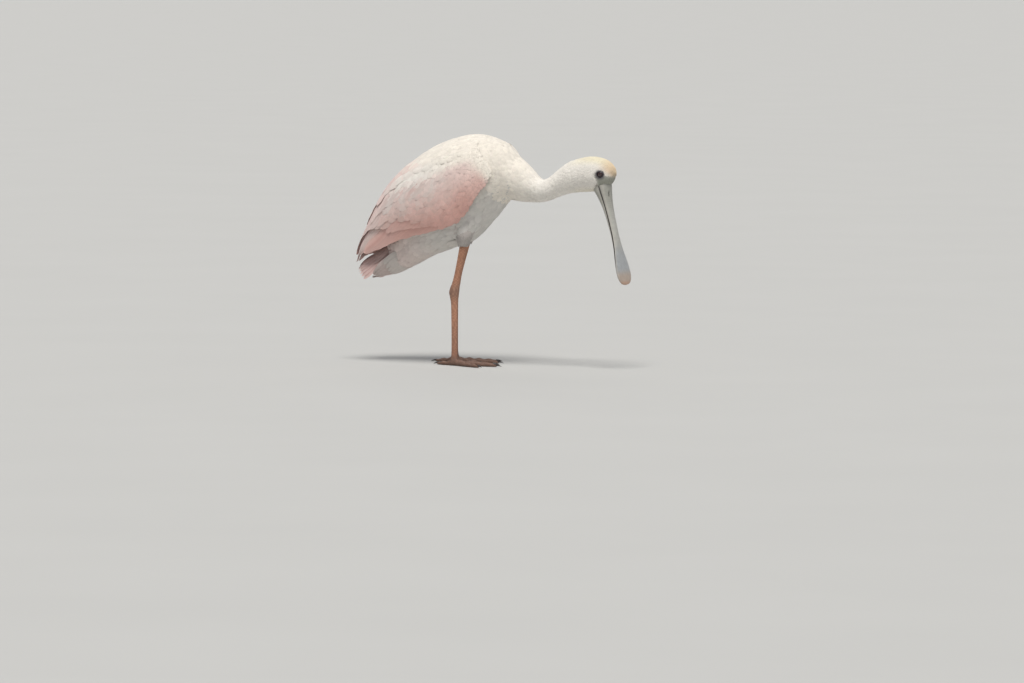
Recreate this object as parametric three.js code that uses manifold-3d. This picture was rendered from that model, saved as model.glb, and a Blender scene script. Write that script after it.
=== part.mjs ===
// Roseate spoonbill, life size, standing still with its neck low and its bill hanging.
// Sizes are in millimetres. The bird faces +X, its left is +Y, and the soles are at Z = 0.
import * as THREE from 'three';
import Module from 'manifold-3d';

const wasm = await Module();
wasm.setup();

// Driving sizes
const DEG = Math.PI / 180;
const GAP = 0.34;
const THIGH_ROOM = 1.4;
const RIGHT = -1;
const LEFT = 1;

// The trunk's axis starts inside the chest and runs back and down to the tail
const TRUNK = { frontX: 105, frontZ: 315, pitch: 33 * DEG, sides: 24, fullness: 0.92 };

// Feathered trunk: top and bottom are heights over the axis, half is half of the width
const TORSO = [
  { at: -27, top: 36, bottom: 14, half: 11 },
  { at: -20, top: 50, bottom: 2, half: 25 },
  { at: 0, top: 74, bottom: -20, half: 41 },
  { at: 20, top: 88, bottom: -31, half: 50 },
  { at: 48, top: 97.5, bottom: -40, half: 57 },
  { at: 82, top: 104, bottom: -49, half: 60 },
  { at: 118, top: 103, bottom: -55, half: 60 },
  { at: 156, top: 96, bottom: -47, half: 55 },
  { at: 194, top: 80, bottom: -38, half: 45 },
  { at: 231, top: 50, bottom: -33, half: 31 },
  { at: 252, top: 28, bottom: -27, half: 20 },
];
// Places of the torso's rings, closer where it curves more
const TORSO_RINGS = [
  -27, -23, -16, -5, 9, 26, 46, 68, 92, 116, 138, 162, 186, 208, 228, 244, 255,
];
const TORSO_ENDS = { front: { at: -31, height: 25 }, back: { at: 262, height: 2 } };

// Outer plumage with the wings folded over the trunk
const PLUMAGE = [
  { at: -10, top: 62, bottom: -8, half: 36 },
  { at: 10, top: 83, bottom: -26, half: 53 },
  { at: 48, top: 99, bottom: -40, half: 66 },
  { at: 82, top: 107.5, bottom: -49, half: 70 },
  { at: 118, top: 110, bottom: -55, half: 71 },
  { at: 156, top: 109, bottom: -50, half: 67 },
  { at: 194, top: 102, bottom: -42, half: 59 },
  { at: 231, top: 88, bottom: -34, half: 49 },
  { at: 270, top: 68, bottom: -18, half: 38 },
  { at: 300, top: 51, bottom: 2, half: 26 },
  { at: 322, top: 35, bottom: 14, half: 11 },
];

// Folded wing: low is the height of its lower edge, brow the angle of its upper edge from the
// middle of the back, and skin and flesh the depths of the arm's outer and inner faces
const WING = [
  { at: 3, low: 20, brow: 58, skin: 1.5, flesh: 7 },
  { at: 10, low: 8, brow: 50, skin: 1.5, flesh: 10 },
  { at: 38, low: -5, brow: 42, skin: 2.2, flesh: 13 },
  { at: 63, low: -12.6, brow: 34, skin: 4.4, flesh: 14 },
  { at: 93, low: -20, brow: 26, skin: 5.8, flesh: 14.5 },
  { at: 121, low: -22, brow: 17, skin: 6.4, flesh: 14.5 },
  { at: 161, low: -12, brow: 8, skin: 7, flesh: 14 },
  { at: 204, low: 2, brow: 2, skin: 8.2, flesh: 14 },
  { at: 250, low: 13, brow: 0, skin: 9.5, flesh: 13 },
  { at: 291, low: 25, brow: 0, skin: 8, flesh: 10 },
  { at: 318, low: 29, brow: 0, skin: 6, flesh: 7 },
];
const ARM = { from: 4, to: 238, steps: 11, across: 6, lowShare: 0.04, browRise: 0.75 };

// Tiers of feathers on each wing. Each runs from a root to a tip, given for its first and last
// feather as the place along the trunk and the share of the way up the wing
const WING_TIERS = [
  { count: 4, root: [[188, 0.14], [206, 0.46]], tip: [[302, 0.13], [321, 0.6]], half: [8.5, 8],
    sink: 11.5, layer: [8, 7], tilt: 1.6, columns: 2 },
  { count: 6, root: [[84, 0.17], [182, 0.22]], tip: [[162, 0.04], [284, 0.14]], half: [12, 10],
    sink: 9, layer: [4.6, 5], tilt: 1.9, columns: 2 },
  { count: 4, root: [[116, 0.5], [172, 0.82]], tip: [[224, 0.32], [310, 0.84]], half: [14.5, 13],
    sink: 9.5, layer: [3, 3], tilt: 1.7, columns: 2 },
  { count: 6, root: [[54, 0.37], [148, 0.44]], tip: [[106, 0.13], [206, 0.26]], half: [12.5, 12.5],
    sink: 8, layer: [1.6, 2.2], tilt: 1.7, columns: 2 },
  { count: 5, root: [[40, 0.58], [122, 0.64]], tip: [[86, 0.34], [170, 0.44]], half: [13, 12.5],
    sink: 8, layer: [0, 0.2], tilt: 1.5, columns: 2 },
  { count: 4, root: [[56, 0.82], [118, 0.86]], tip: [[132, 0.66], [212, 0.88]], half: [15, 14],
    sink: 8, layer: [0.4, 0.6], tilt: 1.6, columns: 2 },
];

// Every feather's outline, by its share of the length: how wide it is and how far it has risen
const VANE = {
  thick: 0.8,
  curve: 150,
  crown: 0.5,
  rows: [
    { at: 0, width: 0.5, rise: 0 },
    { at: 0.2, width: 0.9, rise: 1 },
    { at: 0.76, width: 0.94, rise: 1 },
    { at: 1, width: 0.36, rise: 1 },
  ],
};

// Neck and head: the middle of each section, the way it faces, its half height and half width
const NECK = [
  { at: 0, x: 84, z: 318, lean: -14, high: 36, half: 33 },
  { at: 1, x: 108, z: 309, lean: -24, high: 36, half: 32 },
  { at: 2, x: 132, z: 298, lean: -24, high: 29, half: 26 },
  { at: 3, x: 151, z: 290.5, lean: -14, high: 21.5, half: 20 },
  { at: 4, x: 168, z: 289, lean: 8, high: 18, half: 17.5 },
  { at: 5, x: 185, z: 295, lean: 25, high: 17.5, half: 17 },
  { at: 6, x: 202, z: 304, lean: 25, high: 21, half: 18.5 },
  { at: 7, x: 219, z: 311.5, lean: 16, high: 25, half: 20.5 },
  { at: 8, x: 239, z: 316, lean: 6, high: 27.6, half: 21.5 },
  { at: 9, x: 257, z: 317.5, lean: -4, high: 28.2, half: 21.5 },
  { at: 10, x: 274, z: 316, lean: -14, high: 25.5, half: 19.5 },
  { at: 11, x: 286, z: 312.5, lean: -22, high: 18.5, half: 15 },
  { at: 12, x: 292, z: 310, lean: -24, high: 9.5, half: 8.5 },
];
const NECK_RINGS = { sides: 20, step: 0.5, front: 1.6 };
const NECK_CUTS = { low: 4, head: 7.2 };

// Bill: each section lies across the bill at a distance from its base
const BILL = {
  baseX: 273, baseZ: 296, pitch: -73.5 * DEG, droop: -0.055, length: 163,
  arc: 8, rim: 0.9, fullness: 0.8, mouthSpread: 0.99, lowerWidth: 0.93,
};
const BILL_RINGS = [-7, 0, 8, 18, 30, 45, 62, 80, 94, 106, 116, 126, 136, 146, 153, 158, 161.5];
const BILL_SECTIONS = [
  { at: -7, half: 15, crown: 14, keel: 15.5 },
  { at: 0, half: 15, crown: 15, keel: 15.5 },
  { at: 12, half: 13.6, crown: 12, keel: 12 },
  { at: 28, half: 11.6, crown: 9, keel: 8.6 },
  { at: 45, half: 10.5, crown: 7.2, keel: 6.6 },
  { at: 65, half: 10.3, crown: 6, keel: 5.4 },
  { at: 84, half: 11.2, crown: 5, keel: 4.4 },
  { at: 104, half: 15, crown: 4, keel: 3.6 },
  { at: 120, half: 20.5, crown: 3.4, keel: 3.1 },
  { at: 136, half: 24.6, crown: 3, keel: 2.7 },
  { at: 149, half: 24.6, crown: 2.7, keel: 2.4 },
  { at: 158, half: 19, crown: 2.4, keel: 2.1 },
  { at: 162, half: 11, crown: 2, keel: 1.7 },
];
const NOSTRIL = { middle: 13.5, long: 9, wide: 2.4, deep: 2.6, aside: 5.6, raise: 12 };

// Eye and lids
const EYE = { x: 276.5, z: 318, aside: 15.5, radius: 5.4, lid: 1.1, openLong: 4.6, openHigh: 3.9 };

// Tail: the fan is folded like a low roof, crest high, over the coverts that reach down to keel
const TAIL = [
  { at: 236, crest: 20, droop: 14, half: 26, keel: -31 },
  { at: 262, crest: 21, droop: 22, half: 28, keel: -27 },
  { at: 284, crest: 23, droop: 30, half: 30, keel: -20 },
  { at: 302, crest: 24, droop: 35, half: 31, keel: -12 },
  { at: 316, crest: 22, droop: 34, half: 31, keel: -5 },
  { at: 327, crest: 18, droop: 30, half: 29, keel: 2 },
];
const RUMP = { from: 236, to: 288, steps: 5, across: 8, spread: 0.9, skin: 2.2 };
const TAIL_ROUND = 1.4;
const TAIL_FAN = {
  count: 10, spread: 0.86, root: 250, tip: 325, shorten: 13, half: 7, sink: 7, layer: 0.4, step: 1.2,
  tilt: 1.5, columns: 2,
};
const UPPER_COVERTS = {
  count: 5, spread: 0.6, root: 242, tip: 288, shorten: 8, half: 8, sink: 4, layer: -2, step: 1,
  tilt: 1.2, columns: 2,
};
const UNDER_COVERTS = {
  count: 5, spread: 0.6, root: 242, tip: 300, shorten: 14, half: 8.5, sink: 6, layer: 0.4, step: 1,
  tilt: 0.6, columns: 2,
};

// Legs: each bone runs from one joint to the next, seen from the side
const LEG = {
  aside: 32, ankleX: 17, ankleZ: 121, kneeX: 34, kneeZ: 196, hipX: 52,
  soleX: 17.5, cutZ: 130, stepBack: -32, kneeShare: 0.86, hipShare: 0.6, sides: 10, thighSides: 12,
};

// Rings of each piece of a leg. Along and aside are measured from its hip, knee, ankle or sole
const THIGH = [
  { from: 'hip', along: -4, inward: 6, z: 252, long: 17, wide: 13 },
  { from: 'hip', along: -10, inward: 5, z: 234, long: 19, wide: 15 },
  { from: 'knee', along: 2, inward: 0, z: 217, long: 17, wide: 13.5 },
  { from: 'knee', along: 1, inward: 0, z: 205, long: 12, wide: 10 },
  { from: 'knee', along: 0, inward: 0, z: 195, long: 8.4, wide: 7.8 },
];
const TIBIA = [
  { z: 208, long: 6.2, wide: 5.6 },
  { z: 190, long: 6, wide: 5.4 },
  { z: 165, long: 5.4, wide: 4.9 },
  { z: 145, long: 5.4, wide: 4.9 },
  { z: LEG.cutZ + GAP, long: 6.8, wide: 6.2 },
];
const TARSUS = [
  { from: 'ankle', along: 1.6, z: LEG.cutZ, long: 6.9, wide: 6.3 },
  { from: 'ankle', along: 0.6, z: 126, long: 7.7, wide: 7 },
  { from: 'ankle', along: -0.4, z: 119, long: 7.9, wide: 7.1 },
  { from: 'ankle', along: 0, z: 110, long: 6.4, wide: 5.8 },
  { from: 'ankle', along: 0.3, z: 98, long: 5.1, wide: 4.6 },
  { from: 'sole', along: 0, z: 60, long: 4.6, wide: 4 },
  { from: 'sole', along: 0, z: 24, long: 4.7, wide: 4.2 },
  { from: 'sole', along: 0, z: 14 + GAP, long: 5.6, wide: 5.2 },
];
const PAD = [
  { from: 'sole', along: 0, z: 14, long: 5.7, wide: 5.3 },
  { from: 'sole', along: 0, z: 9, long: 7.5, wide: 7 },
  { from: 'sole', along: 0, z: 4, long: 9, wide: 8 },
  { from: 'sole', along: 0, z: 0, long: 8, wide: 7 },
];

function clamp(value, low, high) {
  return Math.min(Math.max(value, low), high);
}

// One named size at a place in a row of stations, on a smooth curve through them
function sizeAt(stations, place, name) {
  const last = stations.length - 1;
  let index = 0;
  while (index < last - 1 && place > stations[index + 1].at) {
    index += 1;
  }
  const near = stations[index];
  const far = stations[index + 1];
  const span = far.at - near.at;
  const share = clamp((place - near.at) / span, 0, 1);
  const slopeAt = (station) => {
    const before = stations[Math.max(station - 1, 0)];
    const after = stations[Math.min(station + 1, last)];
    return (after[name] - before[name]) / (after.at - before.at);
  };
  const squared = share * share;
  const cubed = squared * share;
  return near[name] * (2 * cubed - 3 * squared + 1)
    + slopeAt(index) * span * (cubed - 2 * squared + share)
    + far[name] * (3 * squared - 2 * cubed)
    + slopeAt(index + 1) * span * (cubed - squared);
}

// A closed form: points and triangles, turned so that its faces point out
function closedForm(points, triangles) {
  let volume = 0;
  const cross = new THREE.Vector3();
  for (const [a, b, c] of triangles) {
    volume += points[a].dot(cross.crossVectors(points[b], points[c]));
  }
  const faces = volume < 0 ? triangles.map(([a, b, c]) => [a, c, b]) : triangles;
  return { points, triangles: faces };
}

// The skin over a row of rings, closed by a point at each end
function skinOver(rings, firstPole, lastPole) {
  const sides = rings[0].length;
  const points = [firstPole, ...rings.flat(), lastPole];
  const triangles = [];
  const corner = (ring, side) => 1 + ring * sides + (side % sides);
  for (let side = 0; side < sides; side += 1) {
    triangles.push([0, corner(0, side + 1), corner(0, side)]);
    for (let ring = 0; ring < rings.length - 1; ring += 1) {
      const a = corner(ring, side);
      const b = corner(ring, side + 1);
      const c = corner(ring + 1, side + 1);
      const d = corner(ring + 1, side);
      triangles.push([a, b, c], [a, c, d]);
    }
    const end = rings.length - 1;
    triangles.push([points.length - 1, corner(end, side), corner(end, side + 1)]);
  }
  return closedForm(points, triangles);
}

// The same form with its faces moved out by a distance
function grown(form, distance) {
  const outward = form.points.map(() => new THREE.Vector3());
  const edge = new THREE.Vector3();
  const other = new THREE.Vector3();
  for (const face of form.triangles) {
    const [a, b, c] = face.map((index) => form.points[index]);
    edge.subVectors(b, a);
    other.subVectors(c, a);
    edge.cross(other);
    for (const index of face) {
      outward[index].add(edge);
    }
  }
  const points = form.points.map((point, index) => (
    point.clone().addScaledVector(outward[index].normalize(), distance)));
  return { points, triangles: form.triangles };
}

function solidOf(form) {
  const vertProperties = new Float32Array(form.points.flatMap((point) => point.toArray()));
  const triVerts = new Uint32Array(form.triangles.flat());
  return new wasm.Manifold(new wasm.Mesh({ numProp: 3, vertProperties, triVerts }));
}

function middleOf(points) {
  const middle = new THREE.Vector3();
  for (const point of points) {
    middle.add(point);
  }
  return middle.divideScalar(points.length);
}

// Only the largest closed surface of a solid
function largestPiece(solid) {
  let best = null;
  for (const piece of solid.decompose()) {
    if (best === null || piece.volume() > best.volume()) {
      best = piece;
    }
  }
  return best;
}

// A ball, stretched along each axis, as a closed form of rings about the Y axis
function ball(centre, radii, sides, bands) {
  const rings = [];
  for (let band = 1; band < bands; band += 1) {
    const polar = Math.PI * band / bands;
    const ring = [];
    for (let side = 0; side < sides; side += 1) {
      const turn = 2 * Math.PI * side / sides;
      ring.push(new THREE.Vector3(
        centre.x + radii.x * Math.sin(polar) * Math.cos(turn),
        centre.y - radii.y * Math.cos(polar),
        centre.z + radii.z * Math.sin(polar) * Math.sin(turn),
      ));
    }
    rings.push(ring);
  }
  const low = new THREE.Vector3(centre.x, centre.y - radii.y, centre.z);
  const high = new THREE.Vector3(centre.x, centre.y + radii.y, centre.z);
  return skinOver(rings, low, high);
}

// Trunk
const trunkBack = new THREE.Vector3(-Math.cos(TRUNK.pitch), 0, -Math.sin(TRUNK.pitch));
const trunkUp = new THREE.Vector3(-Math.sin(TRUNK.pitch), 0, Math.cos(TRUNK.pitch));

function trunkPoint(place, height, aside) {
  return new THREE.Vector3(TRUNK.frontX, aside, TRUNK.frontZ)
    .addScaledVector(trunkBack, place)
    .addScaledVector(trunkUp, height);
}

function fullPower(value) {
  return Math.sign(value) * Math.abs(value) ** TRUNK.fullness;
}

// A point of a section of the trunk, at an angle from the middle of the back
function sectionPoint(stations, place, angle, side) {
  const top = sizeAt(stations, place, 'top');
  const bottom = sizeAt(stations, place, 'bottom');
  const half = sizeAt(stations, place, 'half');
  const level = (top + bottom) / 2;
  const height = level + (top - level) * fullPower(Math.cos(angle));
  return trunkPoint(place, height, side * half * fullPower(Math.sin(angle)));
}

function torsoForm() {
  const rings = [];
  for (const place of TORSO_RINGS) {
    const ring = [];
    for (let side = 0; side < TRUNK.sides; side += 1) {
      ring.push(sectionPoint(TORSO, place, 2 * Math.PI * side / TRUNK.sides, LEFT));
    }
    rings.push(ring);
  }
  const { front, back } = TORSO_ENDS;
  return skinOver(rings, trunkPoint(front.at, front.height, 0), trunkPoint(back.at, back.height, 0));
}

// Wings
function lowAngle(place) {
  const top = sizeAt(PLUMAGE, place, 'top');
  const bottom = sizeAt(PLUMAGE, place, 'bottom');
  const level = (top + bottom) / 2;
  const drop = clamp((sizeAt(WING, place, 'low') - level) / (top - level), -1, 1);
  return Math.acos(Math.sign(drop) * Math.abs(drop) ** (1 / TRUNK.fullness));
}

function outwardFrom(round, along, towards) {
  const out = new THREE.Vector3().crossVectors(round, along).normalize();
  return out.dot(towards) < 0 ? out.negate() : out;
}

// A point on the folded wing and the way out of it: share runs from its lower edge, 0, to its
// upper edge, 1
function wingSurface(place, share, side) {
  const low = lowAngle(place);
  const high = sizeAt(WING, place, 'brow') * DEG;
  const angle = low + (high - low) * share;
  const nudge = 0.02;
  const round = sectionPoint(PLUMAGE, place, angle + nudge, side)
    .sub(sectionPoint(PLUMAGE, place, angle - nudge, side));
  const along = sectionPoint(PLUMAGE, place + 1, angle, side)
    .sub(sectionPoint(PLUMAGE, place - 1, angle, side));
  const towards = new THREE.Vector3(0, side, 0).addScaledVector(trunkUp, 0.2);
  const point = sectionPoint(PLUMAGE, place, angle, side);
  return { point, out: outwardFrom(round, along, towards) };
}

function sunkPoint(surface, depth) {
  return surface.point.clone().addScaledVector(surface.out, -depth);
}

// The arm of the wing, on which its feathers grow
function armForm(side) {
  const rings = [];
  for (let step = 0; step <= ARM.steps; step += 1) {
    const place = ARM.from + (ARM.to - ARM.from) * step / ARM.steps;
    const skin = sizeAt(WING, place, 'skin');
    const flesh = sizeAt(WING, place, 'flesh');
    const row = [];
    for (let k = 0; k <= ARM.across; k += 1) {
      const share = ARM.lowShare + (1 - ARM.lowShare) * k / ARM.across;
      row.push(wingSurface(place, share, side));
    }
    const outer = row.map((surface, k) => (
      sunkPoint(surface, skin * (1 - ARM.browRise * (k / ARM.across) ** 2))));
    const inner = row.map((surface) => sunkPoint(surface, flesh)).reverse();
    rings.push([...outer, ...inner]);
  }
  return skinOver(rings, middleOf(rings[0]), middleOf(rings[rings.length - 1]));
}

// One feather: a thin tapered plate that lies along a path, split alike on both faces
function vaneForm(pathAt, feather) {
  const columns = feather.columns;
  const rows = VANE.rows.length;
  const points = [];
  for (const inner of [0, 1]) {
    for (const row of VANE.rows) {
      const { point, out } = pathAt(row.at);
      const ahead = pathAt(row.at + 0.02).point.clone().sub(pathAt(row.at - 0.02).point).normalize();
      const across = new THREE.Vector3().crossVectors(out, ahead).normalize();
      const depth = feather.sink + (feather.layer - feather.sink) * row.rise;
      const half = feather.half * row.width;
      for (let column = 0; column < columns; column += 1) {
        const share = 2 * column / (columns - 1) - 1;
        const sag = (half * share) ** 2 / VANE.curve;
        const crown = VANE.crown * (1 - Math.abs(share)) * (columns - 2);
        const down = depth + sag - crown + feather.tilt * share + VANE.thick * inner;
        points.push(point.clone().addScaledVector(across, half * share).addScaledVector(out, -down));
      }
    }
  }
  const corner = (face, row, column) => (face * rows + row) * columns + column;
  const triangles = [];
  for (let row = 0; row < rows - 1; row += 1) {
    for (let column = 0; column < columns - 1; column += 1) {
      for (const face of [0, 1]) {
        const a = corner(face, row, column);
        const b = corner(face, row, column + 1);
        const c = corner(face, row + 1, column + 1);
        const d = corner(face, row + 1, column);
        triangles.push(...(face === 0 ? [[a, b, c], [a, c, d]] : [[a, c, b], [a, d, c]]));
      }
    }
    for (const column of [0, columns - 1]) {
      const a = corner(0, row, column);
      const b = corner(0, row + 1, column);
      const c = corner(1, row + 1, column);
      const d = corner(1, row, column);
      triangles.push(...(column === 0 ? [[a, b, c], [a, c, d]] : [[a, c, b], [a, d, c]]));
    }
  }
  for (const row of [0, rows - 1]) {
    for (let column = 0; column < columns - 1; column += 1) {
      const a = corner(0, row, column);
      const b = corner(1, row, column);
      const c = corner(1, row, column + 1);
      const d = corner(0, row, column + 1);
      triangles.push(...(row === 0 ? [[a, b, c], [a, c, d]] : [[a, c, b], [a, d, c]]));
    }
  }
  return closedForm(points, triangles);
}

function between(first, last, share) {
  return first + (last - first) * share;
}

// Feathers of one tier of the wing
function wingTier(tier, side) {
  const vanes = [];
  for (let index = 0; index < tier.count; index += 1) {
    const turn = index / (tier.count - 1);
    const corner = (ends, axis) => between(ends[0][axis], ends[1][axis], turn);
    const vary = 1 + 0.05 * Math.sin(index * 2.4 + tier.count);
    const rootPlace = corner(tier.root, 0);
    const tipPlace = rootPlace + (corner(tier.tip, 0) - rootPlace) * (turn === 1 ? 1 : vary);
    const pathAt = (share) => wingSurface(
      between(rootPlace, tipPlace, share),
      between(corner(tier.root, 1), corner(tier.tip, 1), share),
      side,
    );
    const feather = {
      half: between(tier.half[0], tier.half[1], turn),
      layer: between(tier.layer[0], tier.layer[1], turn),
      sink: tier.sink,
      tilt: tier.tilt * side,
      columns: tier.columns,
    };
    vanes.push(solidOf(vaneForm(pathAt, feather)));
  }
  return vanes;
}

function wingSolid(side) {
  const vanes = WING_TIERS.flatMap((tier) => wingTier(tier, side));
  return wasm.Manifold.union([solidOf(armForm(side)), ...vanes]);
}

// Neck and head
function neckForm() {
  const rings = [];
  const last = NECK[NECK.length - 1].at;
  for (let place = 0; place <= last; place += NECK_RINGS.step) {
    const lean = sizeAt(NECK, place, 'lean') * DEG;
    const up = new THREE.Vector3(-Math.sin(lean), 0, Math.cos(lean));
    const middle = new THREE.Vector3(sizeAt(NECK, place, 'x'), 0, sizeAt(NECK, place, 'z'));
    const high = sizeAt(NECK, place, 'high');
    const half = sizeAt(NECK, place, 'half');
    const ring = [];
    for (let side = 0; side < NECK_RINGS.sides; side += 1) {
      const angle = 2 * Math.PI * side / NECK_RINGS.sides;
      const point = middle.clone().addScaledVector(up, high * Math.cos(angle));
      point.y = half * Math.sin(angle);
      ring.push(point);
    }
    rings.push(ring);
  }
  const first = middleOf(rings[0]);
  const front = middleOf(rings[rings.length - 1]);
  front.x += NECK_RINGS.front;
  return skinOver(rings, first, front);
}

// The plane across the neck or head at one place, as its normal and its distance
function neckPlane(place) {
  const lean = sizeAt(NECK, place, 'lean') * DEG;
  const normal = new THREE.Vector3(Math.cos(lean), 0, Math.sin(lean));
  const point = new THREE.Vector3(sizeAt(NECK, place, 'x'), 0, sizeAt(NECK, place, 'z'));
  return { normal, distance: normal.dot(point) };
}

function before(solid, plane) {
  return solid.trimByPlane(plane.normal.clone().negate().toArray(), GAP / 2 - plane.distance);
}

function after(solid, plane) {
  return solid.trimByPlane(plane.normal.toArray(), plane.distance + GAP / 2);
}

// Bill: the middle line bends down a little on its way to the spoon
function billFrame(place) {
  const pitch = BILL.pitch + BILL.droop * place / BILL.length;
  const half = BILL.pitch + BILL.droop * place / BILL.length / 2;
  const middle = new THREE.Vector3(
    BILL.baseX + place * Math.cos(half), 0, BILL.baseZ + place * Math.sin(half));
  const crown = new THREE.Vector3(-Math.sin(pitch), 0, Math.cos(pitch));
  return { middle, crown };
}

function billPoint(place, aside, raise) {
  const { middle, crown } = billFrame(place);
  const point = middle.clone().addScaledVector(crown, raise);
  point.y = aside;
  return point;
}

function mandible(way, widthShare, sizeName) {
  const rings = [];
  for (const place of BILL_RINGS) {
    const half = sizeAt(BILL_SECTIONS, place, 'half') * widthShare;
    const raise = sizeAt(BILL_SECTIONS, place, sizeName);
    const ring = [];
    for (let k = 0; k <= BILL.arc; k += 1) {
      const angle = Math.PI * k / BILL.arc;
      const lift = BILL.rim + (raise - BILL.rim) * Math.sin(angle) ** BILL.fullness;
      ring.push(billPoint(place, half * Math.cos(angle), way * lift));
    }
    for (let k = 0; k < 3; k += 1) {
      ring.push(billPoint(place, half * (k - 1) * BILL.mouthSpread, way * GAP / 2));
    }
    rings.push(ring);
  }
  const tip = billPoint(BILL.length, 0, way * BILL.rim);
  return skinOver(rings, middleOf(rings[0]), tip);
}

// Tail: a height on its roof or under its keel, at a share of its half width
function tailHeight(place, share, under) {
  const crest = sizeAt(TAIL, place, 'crest');
  const droop = sizeAt(TAIL, place, 'droop');
  if (!under) {
    return crest - droop * Math.abs(share) ** TAIL_ROUND;
  }
  const edge = crest - droop - 1;
  const keel = sizeAt(TAIL, place, 'keel');
  return edge + (keel - edge) * (1 - share * share);
}

function tailPoint(place, share, under) {
  return trunkPoint(place, tailHeight(place, share, under), sizeAt(TAIL, place, 'half') * share);
}

function tailSurface(place, share, under) {
  const round = tailPoint(place, share + 0.04, under).sub(tailPoint(place, share - 0.04, under));
  const along = tailPoint(place + 1, share, under).sub(tailPoint(place - 1, share, under));
  const towards = trunkUp.clone().multiplyScalar(under ? -1 : 1);
  return { point: tailPoint(place, share, under), out: outwardFrom(round, along, towards) };
}

function rumpForm() {
  const rings = [];
  for (let step = 0; step <= RUMP.steps; step += 1) {
    const place = between(RUMP.from, RUMP.to, step / RUMP.steps);
    const shares = [];
    for (let k = 0; k <= RUMP.across; k += 1) {
      shares.push((2 * k / RUMP.across - 1) * RUMP.spread);
    }
    const roof = shares.map((share) => sunkPoint(tailSurface(place, share, false), RUMP.skin));
    const belly = shares.map((share) => sunkPoint(tailSurface(place, share, true), RUMP.skin));
    rings.push([...roof, ...belly.reverse()]);
  }
  return skinOver(rings, middleOf(rings[0]), middleOf(rings[rings.length - 1]));
}

// Feathers of one fan of the tail, the middle ones on top
function tailFan(fan, under) {
  const vanes = [];
  for (let index = 0; index < fan.count; index += 1) {
    const share = (2 * index / (fan.count - 1) - 1) * fan.spread;
    const tip = fan.tip - fan.shorten * share * share;
    const pathAt = (along) => tailSurface(between(fan.root, tip, along), share, under);
    const feather = {
      half: fan.half,
      sink: fan.sink,
      layer: fan.layer + fan.step * Math.abs(share),
      tilt: fan.tilt * Math.sign(share) * (under ? -1 : 1),
      columns: fan.columns,
    };
    vanes.push(solidOf(vaneForm(pathAt, feather)));
  }
  return vanes;
}

function tailSolid() {
  return wasm.Manifold.union([
    solidOf(rumpForm()),
    ...tailFan(TAIL_FAN, false),
    ...tailFan(UPPER_COVERTS, false),
    ...tailFan(UNDER_COVERTS, true),
  ]);
}

// Legs: a round bone through a row of places from its top to its foot
function bone(stations, sides) {
  const rings = stations.map((station) => {
    const ring = [];
    for (let side = 0; side < sides; side += 1) {
      const angle = 2 * Math.PI * side / sides;
      ring.push(new THREE.Vector3(
        station.x + station.long * Math.cos(angle),
        station.y + station.wide * Math.sin(angle),
        station.z,
      ));
    }
    return ring;
  });
  return skinOver(rings, middleOf(rings[0]), middleOf(rings[rings.length - 1]));
}

function legShift(side) {
  return side === LEFT ? LEG.stepBack : 0;
}

// Where a joint of the leg lies, seen from the side
function jointX(side, joint) {
  const shift = legShift(side);
  const places = {
    hip: LEG.hipX + shift * LEG.hipShare,
    knee: LEG.kneeX + shift * LEG.kneeShare,
    ankle: LEG.ankleX + shift,
    sole: LEG.soleX + shift,
  };
  return places[joint];
}

function legForm(side, rings, sides) {
  return bone(rings.map((ring) => ({
    x: jointX(side, ring.from) + ring.along,
    y: side * (LEG.aside - (ring.inward ?? 0)),
    z: ring.z,
    long: ring.long,
    wide: ring.wide,
  })), sides);
}

// The shank slants from the ankle up to the knee
function tibiaForm(side) {
  const ankle = jointX(side, 'ankle');
  const knee = jointX(side, 'knee');
  return bone(TIBIA.map((ring) => {
    const share = (ring.z - LEG.ankleZ) / (LEG.kneeZ - LEG.ankleZ);
    return { ...ring, x: between(ankle, knee, share), y: side * LEG.aside };
  }), LEG.sides);
}

// Feet: each toe has swollen joints, a flat sole and a claw
const TOES = [
  { turn: 22, long: 66, joints: 3 },
  { turn: -2, long: 80, joints: 4 },
  { turn: -28, long: 70, joints: 4 },
  { turn: 172, long: 34, joints: 2 },
];
const TOE = {
  high: 8.4, half: 4.6, tipHigh: 4, tipHalf: 2.3, swell: 0.16, sides: 6, level: 0.42,
  claw: 9, clawHigh: 2.6, clawHalf: 1.5, clawTip: 0.5,
};

function toeForm(start, side, toe) {
  const turn = -side * toe.turn * DEG;
  const way = new THREE.Vector3(Math.cos(turn), Math.sin(turn), 0);
  const across = new THREE.Vector3(-Math.sin(turn), Math.cos(turn), 0);
  const steps = toe.joints * 2 + 1;
  const rings = [];
  const addRing = (place, high, half) => {
    const ring = [];
    for (let k = 0; k < TOE.sides; k += 1) {
      const angle = 2 * Math.PI * (k + 0.5) / TOE.sides;
      const height = Math.max(high * (TOE.level + (1 - TOE.level) * Math.cos(angle)), 0);
      const point = start.clone().addScaledVector(way, place)
        .addScaledVector(across, half * Math.sin(angle));
      point.z = height;
      ring.push(point);
    }
    rings.push(ring);
  };
  for (let step = 0; step <= steps; step += 1) {
    const share = step / steps;
    const swell = 1 + TOE.swell * (step % 2 === 0 ? -1 : 1);
    const high = (TOE.high + (TOE.tipHigh - TOE.high) * share) * swell;
    const half = (TOE.half + (TOE.tipHalf - TOE.half) * share) * swell;
    addRing(share * toe.long, high, half);
  }
  addRing(toe.long + TOE.claw / 2, TOE.clawHigh, TOE.clawHalf);
  const tip = start.clone().addScaledVector(way, toe.long + TOE.claw);
  tip.z = TOE.clawTip;
  return skinOver(rings, middleOf(rings[0]), tip);
}

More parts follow.
